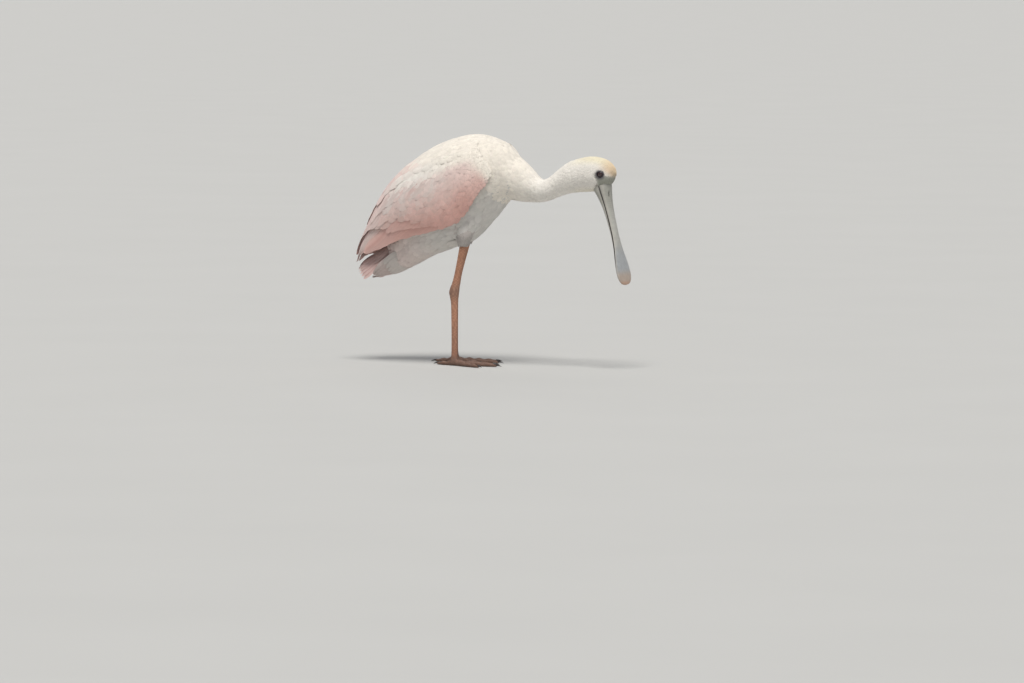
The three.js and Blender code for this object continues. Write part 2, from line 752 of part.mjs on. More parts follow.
function footSolid(side) {
  const start = new THREE.Vector3(jointX(side, 'sole'), side * LEG.aside, 0);
  let foot = solidOf(legForm(side, PAD, LEG.sides));
  for (const toe of TOES) {
    foot = foot.add(solidOf(toeForm(start, side, toe)));
  }
  return foot;
}

// Assembly
const spoonbill = new THREE.Group();

function addPart(name, solid, colour, roughness) {
  const mesh = largestPiece(solid).getMesh();
  const geometry = new THREE.BufferGeometry();
  geometry.setAttribute('position', new THREE.BufferAttribute(mesh.vertProperties, 3));
  geometry.setIndex(new THREE.BufferAttribute(mesh.triVerts, 1));
  const material = new THREE.MeshStandardMaterial({ color: colour, roughness, metalness: 0 });
  const part = new THREE.Mesh(geometry, material);
  part.name = name;
  spoonbill.add(part);
}

const COLOUR = {
  plumage: 0xefe6dc, wing: 0xe9b8b0, tail: 0xd9a6a0, bill: 0xa7a49b, eye: 0x3a1714, leg: 0xa9664c,
};

const torso = torsoForm();
const torsoClearance = solidOf(grown(torso, GAP));
addPart('torso', solidOf(torso), COLOUR.plumage, 0.9);

const neck = solidOf(neckForm());
const lowCut = neckPlane(NECK_CUTS.low);
const headCut = neckPlane(NECK_CUTS.head);
addPart('neck_lower', before(neck, lowCut).subtract(torsoClearance), COLOUR.plumage, 0.9);
addPart('neck_upper', before(after(neck, lowCut), headCut), COLOUR.plumage, 0.9);

const billPlane = {
  normal: new THREE.Vector3(Math.cos(BILL.pitch), 0, Math.sin(BILL.pitch)),
  distance: 0,
};
billPlane.distance = billPlane.normal.dot(new THREE.Vector3(BILL.baseX, 0, BILL.baseZ));

let head = before(after(neck, headCut), billPlane);
for (const side of [RIGHT, LEFT]) {
  const place = new THREE.Vector3(EYE.x, side * EYE.aside, EYE.z);
  const round = (radius) => new THREE.Vector3(radius, radius, radius);
  const opening = new THREE.Vector3(EYE.openLong, EYE.radius * 2, EYE.openHigh);
  const outside = place.clone();
  outside.y += side * EYE.radius;
  head = head.add(solidOf(ball(place, round(EYE.radius + EYE.lid + GAP), 12, 8)));
  head = head.subtract(solidOf(ball(place, round(EYE.radius + GAP), 12, 8)));
  head = head.subtract(solidOf(ball(outside, opening, 10, 6)));
}
addPart('head', head, COLOUR.plumage, 0.85);

for (const [side, word] of [[RIGHT, 'right'], [LEFT, 'left']]) {
  const place = new THREE.Vector3(EYE.x, side * EYE.aside, EYE.z);
  const radii = new THREE.Vector3(EYE.radius, EYE.radius, EYE.radius);
  addPart(`eye_${word}`, solidOf(ball(place, radii, 12, 8)), COLOUR.eye, 0.15);
}

let upperBill = after(solidOf(mandible(1, 1, 'crown')), billPlane);
for (const side of [RIGHT, LEFT]) {
  const { middle, crown } = billFrame(NOSTRIL.middle);
  const place = middle.clone().addScaledVector(crown, NOSTRIL.raise);
  place.y = side * NOSTRIL.aside;
  const radii = new THREE.Vector3(NOSTRIL.deep, NOSTRIL.wide / 2, NOSTRIL.long / 2);
  upperBill = upperBill.subtract(solidOf(ball(place, radii, 8, 6)));
}
addPart('bill_upper', upperBill, COLOUR.bill, 0.5);
const lowerBill = after(solidOf(mandible(-1, BILL.lowerWidth, 'keel')), billPlane);
addPart('bill_lower', lowerBill, COLOUR.bill, 0.5);

const wings = {};
for (const [side, word] of [[RIGHT, 'right'], [LEFT, 'left']]) {
  const half = { normal: new THREE.Vector3(0, side, 0), distance: GAP / 2 };
  const wing = wingSolid(side).subtract(torsoClearance);
  wings[word] = largestPiece(after(wing, half));
  addPart(`wing_${word}`, wings[word], COLOUR.wing, 0.85);
}

addPart('tail', tailSolid().subtract(torsoClearance), COLOUR.tail, 0.85);

for (const [side, word] of [[RIGHT, 'right'], [LEFT, 'left']]) {
  const thigh = legForm(side, THIGH, LEG.thighSides);
  const thighClearance = solidOf(grown(thigh, GAP * THIGH_ROOM));
  addPart(`thigh_${word}`, solidOf(thigh).subtract(torsoClearance), COLOUR.plumage, 0.9);
  const tibia = solidOf(tibiaForm(side)).subtract(thighClearance).subtract(torsoClearance);
  addPart(`tibia_${word}`, tibia, COLOUR.leg, 0.6);
  addPart(`tarsus_${word}`, solidOf(legForm(side, TARSUS, LEG.sides)), COLOUR.leg, 0.6);
  addPart(`foot_${word}`, footSolid(side), COLOUR.leg, 0.6);
}

// The origin is on the floor under the middle of the whole bird
const box = new THREE.Box3().setFromObject(spoonbill);
spoonbill.position.set(-(box.min.x + box.max.x) / 2, -(box.min.y + box.max.y) / 2, -box.min.z);

export default spoonbill;
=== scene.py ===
"""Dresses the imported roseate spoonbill, with floor, light and camera.

Sizes are in millimetres along the bird, as in the part's own source, and become metres when a mesh is made.
"""

import logging
import math
from dataclasses import dataclass, field, replace
from enum import Enum
from typing import Callable, ClassVar, Iterable, Optional, Sequence

import bpy
import numpy as np
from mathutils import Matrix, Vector, kdtree
from mathutils.bvhtree import BVHTree

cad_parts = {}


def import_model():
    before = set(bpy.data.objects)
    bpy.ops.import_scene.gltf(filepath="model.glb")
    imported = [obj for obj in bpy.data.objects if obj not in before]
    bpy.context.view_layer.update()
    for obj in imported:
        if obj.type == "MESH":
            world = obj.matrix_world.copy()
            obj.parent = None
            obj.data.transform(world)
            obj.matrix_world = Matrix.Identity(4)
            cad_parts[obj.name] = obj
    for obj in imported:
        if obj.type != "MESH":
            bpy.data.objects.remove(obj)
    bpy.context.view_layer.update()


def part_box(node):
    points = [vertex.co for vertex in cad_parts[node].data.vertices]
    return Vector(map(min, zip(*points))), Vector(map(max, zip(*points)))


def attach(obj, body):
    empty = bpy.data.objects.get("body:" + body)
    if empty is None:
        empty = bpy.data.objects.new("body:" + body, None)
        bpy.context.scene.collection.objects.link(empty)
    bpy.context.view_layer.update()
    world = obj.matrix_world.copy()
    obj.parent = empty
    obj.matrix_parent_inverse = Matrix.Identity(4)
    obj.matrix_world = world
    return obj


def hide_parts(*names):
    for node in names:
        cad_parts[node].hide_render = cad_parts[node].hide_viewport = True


LOG = logging.getLogger("spoonbill")
Array = np.ndarray
MM = 0.001
RIGHT = -1
LEFT = 1
SIDES = ((RIGHT, "right"), (LEFT, "left"))
# A vane's own patch in the unwrap for baked colours, and the part of that unwrap that a whole piece takes
PATCH = 0.003
# Points closer than this, in metres, are one where a tube's seam closes
SEAM = 2e-6
WHOLE = (0.01, 0.01, 0.99, 0.99)
Object = bpy.types.Object
Spread = Callable[[Array, Array], Array]


class Relief(Enum):
    """What gives a finish its fine relief."""

    GRAIN = "grain"
    BARBS = "barbs"
    SCALES = "scales"


def unit(vectors: Array) -> Array:
    """Vectors brought to length one."""
    return vectors / np.maximum(np.linalg.norm(vectors, axis=-1, keepdims=True), 1e-9)


def smooth(low: float, high: float, value: Array) -> Array:
    """A soft step from 0 at low to 1 at high."""
    share = np.clip((value - low) / (high - low), 0, 1)
    return share * share * (3 - 2 * share)


def mix(first: Array, second: Array, share: Array) -> Array:
    """Blends two colours or points by a share for each row."""
    share = np.asarray(share, float)[..., None]
    return first * (1 - share) + second * share


def bell(value: Array, middle: float, width: float, order: int = 2) -> Array:
    """A soft bump of height 1 round a middle."""
    return np.exp(-(((value - middle) / width) ** order))


def scatter(mark: Array, scale: float) -> Array:
    """A fixed scatter from 0 to 1, that makes a border uneven."""
    value = np.sin(mark) * scale
    return value - np.floor(value)


def toned(start: Array, *steps: tuple[Sequence[float], Array]) -> Array:
    """A colour laid over with further ones, each by its own share."""
    tone = np.asarray(start, float)
    for colour, share in steps:
        tone = mix(tone, np.asarray(colour, float), share)
    return tone


def linear(colour: Sequence[float]) -> Array:
    """A screen colour as the linear one that a shader takes."""
    value = np.asarray(colour, float)
    return np.where(value <= 0.04045, value / 12.92, ((value + 0.055) / 1.055) ** 2.4)


class Profile:
    """Sizes along a form, on a smooth curve through its stations."""

    def __init__(self, rows: Sequence[Sequence[float]]) -> None:
        """Keeps the stations: a place, then its sizes.

        Args:
            rows: One row a station, in order of place.
        """
        table = np.array(rows, float)
        self.places = table[:, 0]
        self.sizes = table[:, 1:]
        ahead = np.append(np.arange(1, len(table)), len(table) - 1)
        behind = np.insert(np.arange(0, len(table) - 1), 0, 0)
        run = (self.places[ahead] - self.places[behind])[:, None]
        self.slopes = (self.sizes[ahead] - self.sizes[behind]) / run

    def at(self, place: Array) -> tuple[Array, ...]:
        """The sizes at a place.

        Args:
            place: Places along the form.

        Returns:
            One array for each size, in the order of the columns.
        """
        place = np.asarray(place, float)
        index = np.clip(np.searchsorted(self.places, place) - 1, 0, len(self.places) - 2)
        span = self.places[index + 1] - self.places[index]
        share = np.clip((place - self.places[index]) / span, 0, 1)[..., None]
        span = span[..., None]
        square, cube = share**2, share**3
        value = (
            self.sizes[index] * (2 * cube - 3 * square + 1)
            + self.slopes[index] * span * (cube - 2 * square + share)
            + self.sizes[index + 1] * (3 * square - 2 * cube)
            + self.slopes[index + 1] * span * (cube - square)
        )
        return tuple(value[..., column] for column in range(value.shape[-1]))


# The trunk's axis starts in the chest and runs back and down to the tail
PITCH = math.radians(33)
FULLNESS = 0.92
TRUNK_FRONT = np.array([105.0, 0, 315.0])
TRUNK_BACK = np.array([-math.cos(PITCH), 0, -math.sin(PITCH)])
TRUNK_UP = np.array([-math.sin(PITCH), 0, math.cos(PITCH)])

# Place, top, bottom and half width of the feathered trunk without its wings
TORSO = Profile([
    (-31, 25.5, 24.5, 0.6), (-29.5, 31, 19.5, 6), (-27, 36, 14, 11), (-20, 50, 2, 25), (0, 74, -20, 41),
    (20, 88, -31, 50), (48, 97.5, -40, 57), (82, 104, -49, 60), (118, 103, -55, 60), (156, 96, -47, 55),
    (194, 80, -38, 45), (231, 50, -33, 31), (252, 28, -27, 20), (262, 4, 0, 3),
])

# The same with the wings folded over it
PLUMAGE = Profile([
    (-10, 62, -8, 36), (10, 83, -26, 53), (48, 99, -40, 66), (82, 107.5, -49, 70), (118, 110, -55, 71),
    (156, 109, -50, 67), (194, 102, -42, 59), (231, 88, -34, 49), (270, 68, -18, 38), (300, 51, 2, 26),
    (322, 35, 14, 11),
])

# Place, height of the wing's lower edge, angle of its upper edge, depth of the arm's skin and flesh
WING = Profile([
    (3, 20, 58, 1.5, 7), (10, 8, 50, 1.5, 10), (38, -5, 42, 2.2, 13), (63, -12.6, 34, 4.4, 14),
    (93, -20, 26, 5.8, 14.5), (121, -22, 17, 6.4, 14.5), (161, -12, 8, 7, 14), (204, 2, 2, 8.2, 14),
    (250, 13, 0, 9.5, 13), (291, 25, 0, 8, 10), (318, 29, 0, 6, 7),
])

# Station, then x, z, lean in degrees, half height and half width of the neck and head
NECK = Profile([
    (-1, 60, 323, -6, 39, 36), (0, 84, 318, -14, 36, 33), (1, 108, 309, -24, 36, 32),
    (2, 132, 298, -24, 29, 26),
    (3, 151, 290.5, -14, 21.5, 20), (4, 168, 289, 8, 18, 17.5), (5, 185, 295, 25, 17.5, 17),
    (6, 202, 304, 25, 21, 18.5), (7, 219, 311.5, 16, 25, 20.5), (8, 239, 316, 6, 27.6, 21.5),
    (9, 257, 317.5, -4, 28.2, 21.5), (10, 274, 316, -14, 25.5, 19.5), (11, 286, 312.5, -22, 18.5, 15),
    (12, 292, 310, -24, 9.5, 8.5),
])

# Place, crest, droop, half width and keel of the tail
TAIL = Profile([
    (236, 20, 14, 26, -31), (262, 21, 22, 28, -27), (284, 23, 30, 30, -20), (302, 24, 35, 31, -12),
    (316, 22, 34, 31, -5), (327, 18, 30, 29, 2),
])

# Bill: place along it, half width, crown height over the mouth line and keel depth under it
BILL = Profile([
    (-7, 15, 14, 15.5), (0, 15, 15, 15.5), (12, 13.6, 12, 12), (28, 11.6, 9, 8.6), (45, 10.5, 7.2, 6.6),
    (65, 10.3, 6, 5.4), (84, 11.2, 5, 4.4), (104, 15, 4, 3.6), (120, 20.5, 3.4, 3.1), (136, 24.6, 3, 2.7),
    (149, 24.6, 2.7, 2.4), (158, 19, 2.4, 2.1), (162, 11, 2, 1.7), (163, 2, 0.9, 0.9),
])
BILL_BASE = (273.0, 296.0)
BILL_PITCH = math.radians(-73.5)
BILL_DROOP = -0.055
BILL_LENGTH = 163.0
EYE_PLACE = (276.5, 318.0)
EYE_RADIUS = 5.4


def power(value: Array) -> Array:
    """A signed power that fills out the corners of a section."""
    return np.sign(value) * np.abs(value) ** FULLNESS


def trunk_point(place: Array, height: Array, aside: Array) -> Array:
    """A point by its place along the trunk, its height over the axis and how far it lies aside."""
    place, height, aside = np.broadcast_arrays(place, height, aside)
    point = TRUNK_FRONT + place[..., None] * TRUNK_BACK + height[..., None] * TRUNK_UP
    point[..., 1] += aside
    return point


class Surface:
    """A form of the bird by two numbers: u along it and v round it."""

    # Steps for slopes: along for the ways out, along for the stretch, and round; then the least stretch
    NUDGE: ClassVar[float] = 0.5
    SPAN: ClassVar[float] = 0.5
    TURN: ClassVar[float] = 0.02
    LEAST: ClassVar[float] = 0.3
    LEAST_ROUND: ClassVar[float] = 0.3

    def point(self, u: Array, v: Array) -> Array:
        """Points of the form, in millimetres."""
        raise NotImplementedError

    def heart(self, u: Array) -> Array:
        """Points inside the form, from which its outside faces away."""
        raise NotImplementedError

    def frame(self, u: Array, v: Array) -> tuple[Array, Array]:
        """Points and the ways out of the form there.

        Args:
            u: Places along it.
            v: Places round it.

        Returns:
            The points and the unit vectors that face out.
        """
        along = self.point(u + self.NUDGE, v) - self.point(u - self.NUDGE, v)
        round_ = self.point(u, v + self.TURN) - self.point(u, v - self.TURN)
        point = self.point(u, v)
        out = unit(np.cross(along, round_))
        turned = np.sum(out * (point - self.heart(u)), axis=-1) < 0
        out[turned] *= -1
        return point, out

    def stretch(self, u: Array, v: Array) -> tuple[Array, Array]:
        """How many millimetres one step of u and one of v cover.

        Args:
            u: Places along the form.
            v: Places round it.

        Returns:
            Both sizes, never so small that a feather would run away.
        """
        along = self.point(u + self.SPAN, v) - self.point(u - self.SPAN, v)
        round_ = self.point(u, v + self.TURN) - self.point(u, v - self.TURN)
        return (
            np.maximum(np.linalg.norm(along, axis=-1) / (2 * self.SPAN), self.LEAST),
            np.maximum(np.linalg.norm(round_, axis=-1) / (2 * self.TURN), self.LEAST_ROUND),
        )


@dataclass
class TrunkSurface(Surface):
    """The trunk: u is the place along it, v the angle from the middle of the back, left positive."""

    profile: Profile = field(default_factory=lambda: TORSO)

    def point(self, u: Array, v: Array) -> Array:
        """Points of the trunk."""
        top, bottom, half = self.profile.at(u)
        level = (top + bottom) / 2
        return trunk_point(u, level + (top - level) * power(np.cos(v)), half * power(np.sin(v)))

    def heart(self, u: Array) -> Array:
        """Points on the middle line."""
        top, bottom, _ = self.profile.at(u)
        return trunk_point(u, (top + bottom) / 2, np.zeros_like(u))


@dataclass
class WingSurface(Surface):
    """One folded wing: u is the place along the trunk, v the share of the way up from its lower edge."""

    side: int = RIGHT

    def angle(self, u: Array, v: Array) -> Array:
        """Angles from the middle of the back."""
        top, bottom, _ = PLUMAGE.at(u)
        low, brow, _, _ = WING.at(u)
        level = (top + bottom) / 2
        drop = np.clip((low - level) / (top - level), -1, 1)
        lower = np.arccos(np.sign(drop) * np.abs(drop) ** (1 / FULLNESS))
        return lower + (np.radians(brow) - lower) * v

    def point(self, u: Array, v: Array) -> Array:
        """Points of the wing."""
        return TrunkSurface(PLUMAGE).point(u, self.angle(u, v) * self.side)

    def heart(self, u: Array) -> Array:
        """Points on the trunk's middle line."""
        return TrunkSurface(PLUMAGE).heart(u)


@dataclass
class TailSurface(Surface):
    """The tail: u is the place along the trunk, v the share of its half width."""

    under: bool = False

    def point(self, u: Array, v: Array) -> Array:
        """Points of the roof, or under it down to the keel."""
        crest, droop, half, keel = TAIL.at(u)
        height = crest - droop * np.abs(v) ** 1.4
        if self.under:
            edge = crest - droop - 1
            height = edge + (keel - edge) * (1 - v * v)
        return trunk_point(u, height, half * v)

    def heart(self, u: Array) -> Array:
        """Points on the far side of the roof or keel."""
        return trunk_point(u, np.full_like(u, 90.0 if self.under else -90.0), np.zeros_like(u))


@dataclass
class NeckSurface(Surface):
    """Neck and head: u is the station, v the angle from the top, left positive."""

    NUDGE: ClassVar[float] = 0.06
    SPAN: ClassVar[float] = 0.05
    LEAST: ClassVar[float] = 2.0

    def point(self, u: Array, v: Array) -> Array:
        """Points of the neck."""
        x, z, lean, high, half = NECK.at(u)
        lean = np.radians(lean)
        up = np.stack([-np.sin(lean), np.zeros_like(lean), np.cos(lean)], -1)
        point = np.stack(np.broadcast_arrays(x, 0 * v, z), -1) + up * (high * np.cos(v))[..., None]
        point[..., 1] += half * np.sin(v)
        return point

    def heart(self, u: Array) -> Array:
        """Points on the middle line."""
        x, z, *_ = NECK.at(u)
        return np.stack([x, np.zeros_like(x), z], -1)


@dataclass
class ThighSurface(Surface):
    """One feathered thigh: u runs from its top, 0, to its foot, 4, and v is the angle from the front."""

    NUDGE: ClassVar[float] = 0.05
    SPAN: ClassVar[float] = 0.05
    LEAST: ClassVar[float] = 2.0

    side: int = RIGHT

    def rings(self) -> Profile:
        """Stations of the thigh: x, y, z, half length and half width."""
        back = -32 if self.side == LEFT else 0
        shift, low = back * 0.6, back * 0.86
        y, hip = self.side * 32, self.side * 30
        return Profile([
            (0, 48 + shift, hip - self.side * 4, 252, 17, 13),
            (1, 42 + shift, hip - self.side * 3, 234, 19, 15),
            (2, 36 + low, y, 217, 17, 13.5), (3, 35 + low, y, 205, 12, 10), (4, 34 + low, y, 195, 8, 7.5),
        ])

    def point(self, u: Array, v: Array) -> Array:
        """Points of the thigh."""
        x, y, z, long, wide = self.rings().at(u)
        return np.stack([x + long * np.cos(v), y + wide * np.sin(v), z + 0 * v], -1)

    def heart(self, u: Array) -> Array:
        """Points on the middle line."""
        x, y, z, _, _ = self.rings().at(u)
        return np.stack([x, y, z], -1)


class Draped(Surface):
    """A form's feathers laid on the fused skin, so that neck and breast flow into one another."""

    # How much the form's own way out counts, and how far from the skin a feather may start, in millimetres
    OWN_WAY: ClassVar[float] = 0.15
    NEAR: ClassVar[float] = 7.0
    NEAR_NECK: ClassVar[float] = 10.0

    def __init__(self, base: Surface, skin: Object, shift: Array, coat: float) -> None:
        """Keeps the skin in a form that finds its nearest point fast.

        Args:
            base: The form that gives each place.
            skin: The fused skin.
            shift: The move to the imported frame.
            coat: How far over the skin the feathers lie, in millimetres.
        """
        self.base = base
        self.coat = coat
        points = points_of(skin, shift)
        faces = [tuple(face.vertices) for face in skin.data.polygons]
        self.tree = BVHTree.FromPolygons([Vector(point) for point in points], faces)

    def nearest(self, places: Array) -> tuple[Array, Array, Array]:
        """The skin's places nearest to some points.

        Args:
            places: Points in millimetres.

        Returns:
            The places, the skin's ways out there and how far off they lie.
        """
        found = [self.tree.find_nearest(Vector(place)) for place in places.reshape(-1, 3)]
        spots = np.array([hit[0] for hit in found]).reshape(places.shape)
        outs = np.array([hit[1] for hit in found]).reshape(places.shape)
        return spots, outs, np.array([hit[3] for hit in found])

    def point(self, u: Array, v: Array) -> Array:
        """Points over the nearest places of the skin."""
        spot, out, _ = self.nearest(self.base.point(u, v))
        return spot + out * self.coat

    def frame(self, u: Array, v: Array) -> tuple[Array, Array]:
        """Points on the skin, with the ways out of the form that it blends."""
        start, plain_out = self.base.frame(u, v)
        spot, out, _ = self.nearest(start)
        out = unit(out + self.OWN_WAY * plain_out)
        return spot + out * self.coat, out

    def stretch(self, u: Array, v: Array) -> tuple[Array, Array]:
        """The same as on the form itself."""
        return self.base.stretch(u, v)

    def near(self, u: Array, v: Array) -> Array:
        """Whether the form lies close to the skin, with a border that is uneven.

        Args:
            u: Places along the form.
            v: Places round it.

        Returns:
            True where a feather may grow.
        """
        far = self.nearest(self.base.point(u, v))[2]
        if isinstance(self.base, NeckSurface):
            return far < self.NEAR_NECK + 6.0 * scatter(u * 127.1 + v * 311.7, 43758.5453)
        wide = 0.0 if isinstance(self.base, ThighSurface) else 8.0 * (1 - smooth(10, 40, u))
        return far < self.NEAR + wide


# Ground colours of the plumage, as on a screen
WHITE = np.array([0.925, 0.905, 0.87])
CREAM = np.array([0.93, 0.90, 0.85])
BLUSH = np.array([0.885, 0.775, 0.745])
SALMON = np.array([0.865, 0.715, 0.675])
DEEP = np.array([0.855, 0.665, 0.62])
# Ashy grey, which on the lower breast, flanks and thighs partly stands for painted shade
ASH = np.array([0.83, 0.815, 0.79])
DUSK = np.array([0.74, 0.61, 0.585])
GOLD = np.array([0.89, 0.845, 0.69])
PEACH = np.array([0.87, 0.75, 0.61])


class Markings:
    """The colours that skin and coat share, by the place on the bird."""

    @staticmethod
    def trunk(u: Array, v: Array) -> Array:
        """Cream over the shoulders, pink on the lower back and ashy on the lower breast and under the wings,
        a grey that is partly the feathers' own tone and partly painted shade on the underside.
        """
        around = np.abs(v)
        back = mix(CREAM, BLUSH, smooth(105, 190, u))
        flank = mix(ASH, BLUSH, 0.5 * smooth(150, 240, u))
        # The ashy lower breast and flanks are partly the feathers' own tone and partly painted shade on the
        # underside
        breast = mix(CREAM, ASH, smooth(1.7, 2.7, around))
        low = mix(breast, flank, smooth(24, 80, u))
        return mix(CREAM, mix(back, low, smooth(0.75, 1.5, around)), smooth(-12, 8, u))

    @staticmethod
    def wing(u: Array, v: Array) -> Array:
        """Salmon along the lower edge, pale in the middle and cream to pink above."""
        lower = mix(mix(SALMON, DEEP, smooth(30, 75, u)), SALMON, 0.7 * smooth(200, 260, u))
        lower = mix(lower, BLUSH, 0.6 * smooth(275, 310, u))
        streak = 0.5 + 0.5 * np.sin(u * 0.21 + 9 * v + 1.4 * np.sin(u * 0.083 - 14 * v))
        middle = mix(BLUSH, ASH, 0.2 + 0.45 * streak * smooth(50, 110, u) * (1 - smooth(180, 250, u)))
        pale = mix(CREAM, WHITE, smooth(40, 120, u))
        pale = mix(pale, BLUSH, smooth(150, 225, u))
        upper = mix(CREAM, BLUSH, smooth(85, 160, u))
        front = mix(middle, CREAM, 1 - smooth(14, 42, u))
        edge = mix(lower, CREAM, 1 - smooth(12, 30, u))
        tone = mix(edge, front, smooth(0.08, 0.52, v))
        tone = mix(tone, pale, smooth(0.5, 0.68, v))
        return mix(tone, upper, smooth(0.68, 0.84, v))

    @staticmethod
    def tail(u: Array, v: Array) -> Array:
        """A dusty pink."""
        return mix(BLUSH, DUSK, 0.15 + 0.3 * smooth(250, 300, u))

    @staticmethod
    def under(u: Array, v: Array) -> Array:
        """Ashy pink coverts under the tail."""
        return mix(ASH, DUSK, 0.12 + 0.4 * smooth(262, 320, u))

    @staticmethod
    def neck(u: Array, v: Array) -> Array:
        """White, with a golden crown, a peach forehead and a grey face round the eye."""
        tone = mix(CREAM, WHITE, smooth(1.0, 4, u))
        top = 1 - smooth(0.45, 1.15, np.abs(v))
        tone = mix(tone, GOLD, 0.6 * smooth(6.6, 8.8, u) * top)
        tone = mix(tone, PEACH, 0.6 * smooth(9.4, 11.0, u) * (1 - smooth(0.9, 1.5, np.abs(v))))
        throat = smooth(2.2, 2.9, np.abs(v)) * smooth(6, 8, u)
        return mix(tone, GOLD, 0.3 * throat)

    @staticmethod
    def thigh(u: Array, v: Array) -> Array:
        """Ashy white, darkened towards the foot by painted shade under the belly."""
        # The factor falling from 0.98 to 0.78 towards the foot is painted shade, not the feathers' own tone
        return mix(ASH, BLUSH, 0.2 + 0 * u) * (0.98 - 0.2 * smooth(1.0, 3.2, u))[..., None]


@dataclass(frozen=True)
class Outline:
    """The outline of one kind of feather: rows of place along it, width and rise, each as a share."""

    rows: tuple[tuple[float, float, float], ...]
    columns: int = 3
    crown: float = 0.45
    curve: float = 60.0
    ragged: float = 0.07
    thick: float = 0.0


SOFT = Outline(
    rows=((0, 0.42, 0), (0.26, 0.86, 0.72), (0.58, 1.0, 1.0), (0.84, 0.7, 1.05), (1, 0.12, 1.0)), ragged=0.12,
)
LOOSE = Outline(
    rows=((0, 0.4, 0), (0.18, 0.8, 0.7), (0.4, 0.98, 0.95), (0.62, 1.0, 1.0), (0.8, 0.86, 1.04),
          (0.93, 0.55, 1.05), (1, 0.1, 1.0)),
    columns=5, crown=0.6, ragged=0.13,
)
FLIGHT = Outline(
    rows=((0, 0.5, 0), (0.08, 0.7, 0.5), (0.18, 0.86, 0.85), (0.3, 0.94, 1), (0.42, 0.97, 1),
          (0.54, 1.0, 1), (0.66, 1.0, 1), (0.76, 0.96, 1), (0.84, 0.88, 1), (0.9, 0.76, 1),
          (0.95, 0.58, 1), (0.985, 0.34, 1), (1, 0.1, 1)),
    columns=7, crown=0.7, curve=70, ragged=0.025, thick=0.35,
)
LONG = Outline(
    rows=((0, 0.4, 0), (0.12, 0.72, 0.6), (0.28, 0.92, 0.95), (0.46, 1.0, 1.0), (0.64, 0.98, 1.02),
          (0.78, 0.86, 1.04), (0.89, 0.66, 1.05), (0.96, 0.42, 1.05), (1, 0.1, 1.0)),
    columns=7, crown=0.6, ragged=0.08,
)
HAIRY = Outline(
    rows=((0, 0.5, 0), (0.4, 1.0, 0.9), (0.75, 0.8, 1.05), (1, 0.12, 1.0)), crown=0.25, ragged=0.15,
)


def vane_faces(rows: int, columns: int, doubled: bool) -> list[tuple[int, ...]]:
    """The faces of one closed vane, top first.

    Args:
        rows: How many rows of points it has along it.
        columns: How many points across its top.
        doubled: Whether the underside has points of its own between the edges.

    Returns:
        Corner numbers of each face, that turn outward.
    """
    def top(row: int, column: int) -> int:
        """A point of the top."""
        return row * columns + column

    def under(row: int, column: int) -> int:
        """A point of the underside, which shares the edges."""
        if column in (0, columns - 1):
            return top(row, column)
        return rows * columns + row * (columns - 2) + column - 1

    faces: list[tuple[int, ...]] = []
    steps = list(range(columns)) if doubled else [0, columns - 1]
    for row in range(rows - 1):
        for column in range(columns - 1):
            low, high = top(row, column), top(row + 1, column)
            faces.append((low, high, high + 1, low + 1))
        for left, right in zip(steps, steps[1:]):
            faces.append((under(row, left), under(row, right), under(row + 1, right), under(row + 1, left)))
    for row, way in ((0, 1), (rows - 1, -1)):
        ring = [top(row, column) for column in range(columns)]
        if doubled:
            ring += [under(row, column) for column in range(columns - 2, 0, -1)]
        faces.append(tuple(ring[::way]))
    return faces


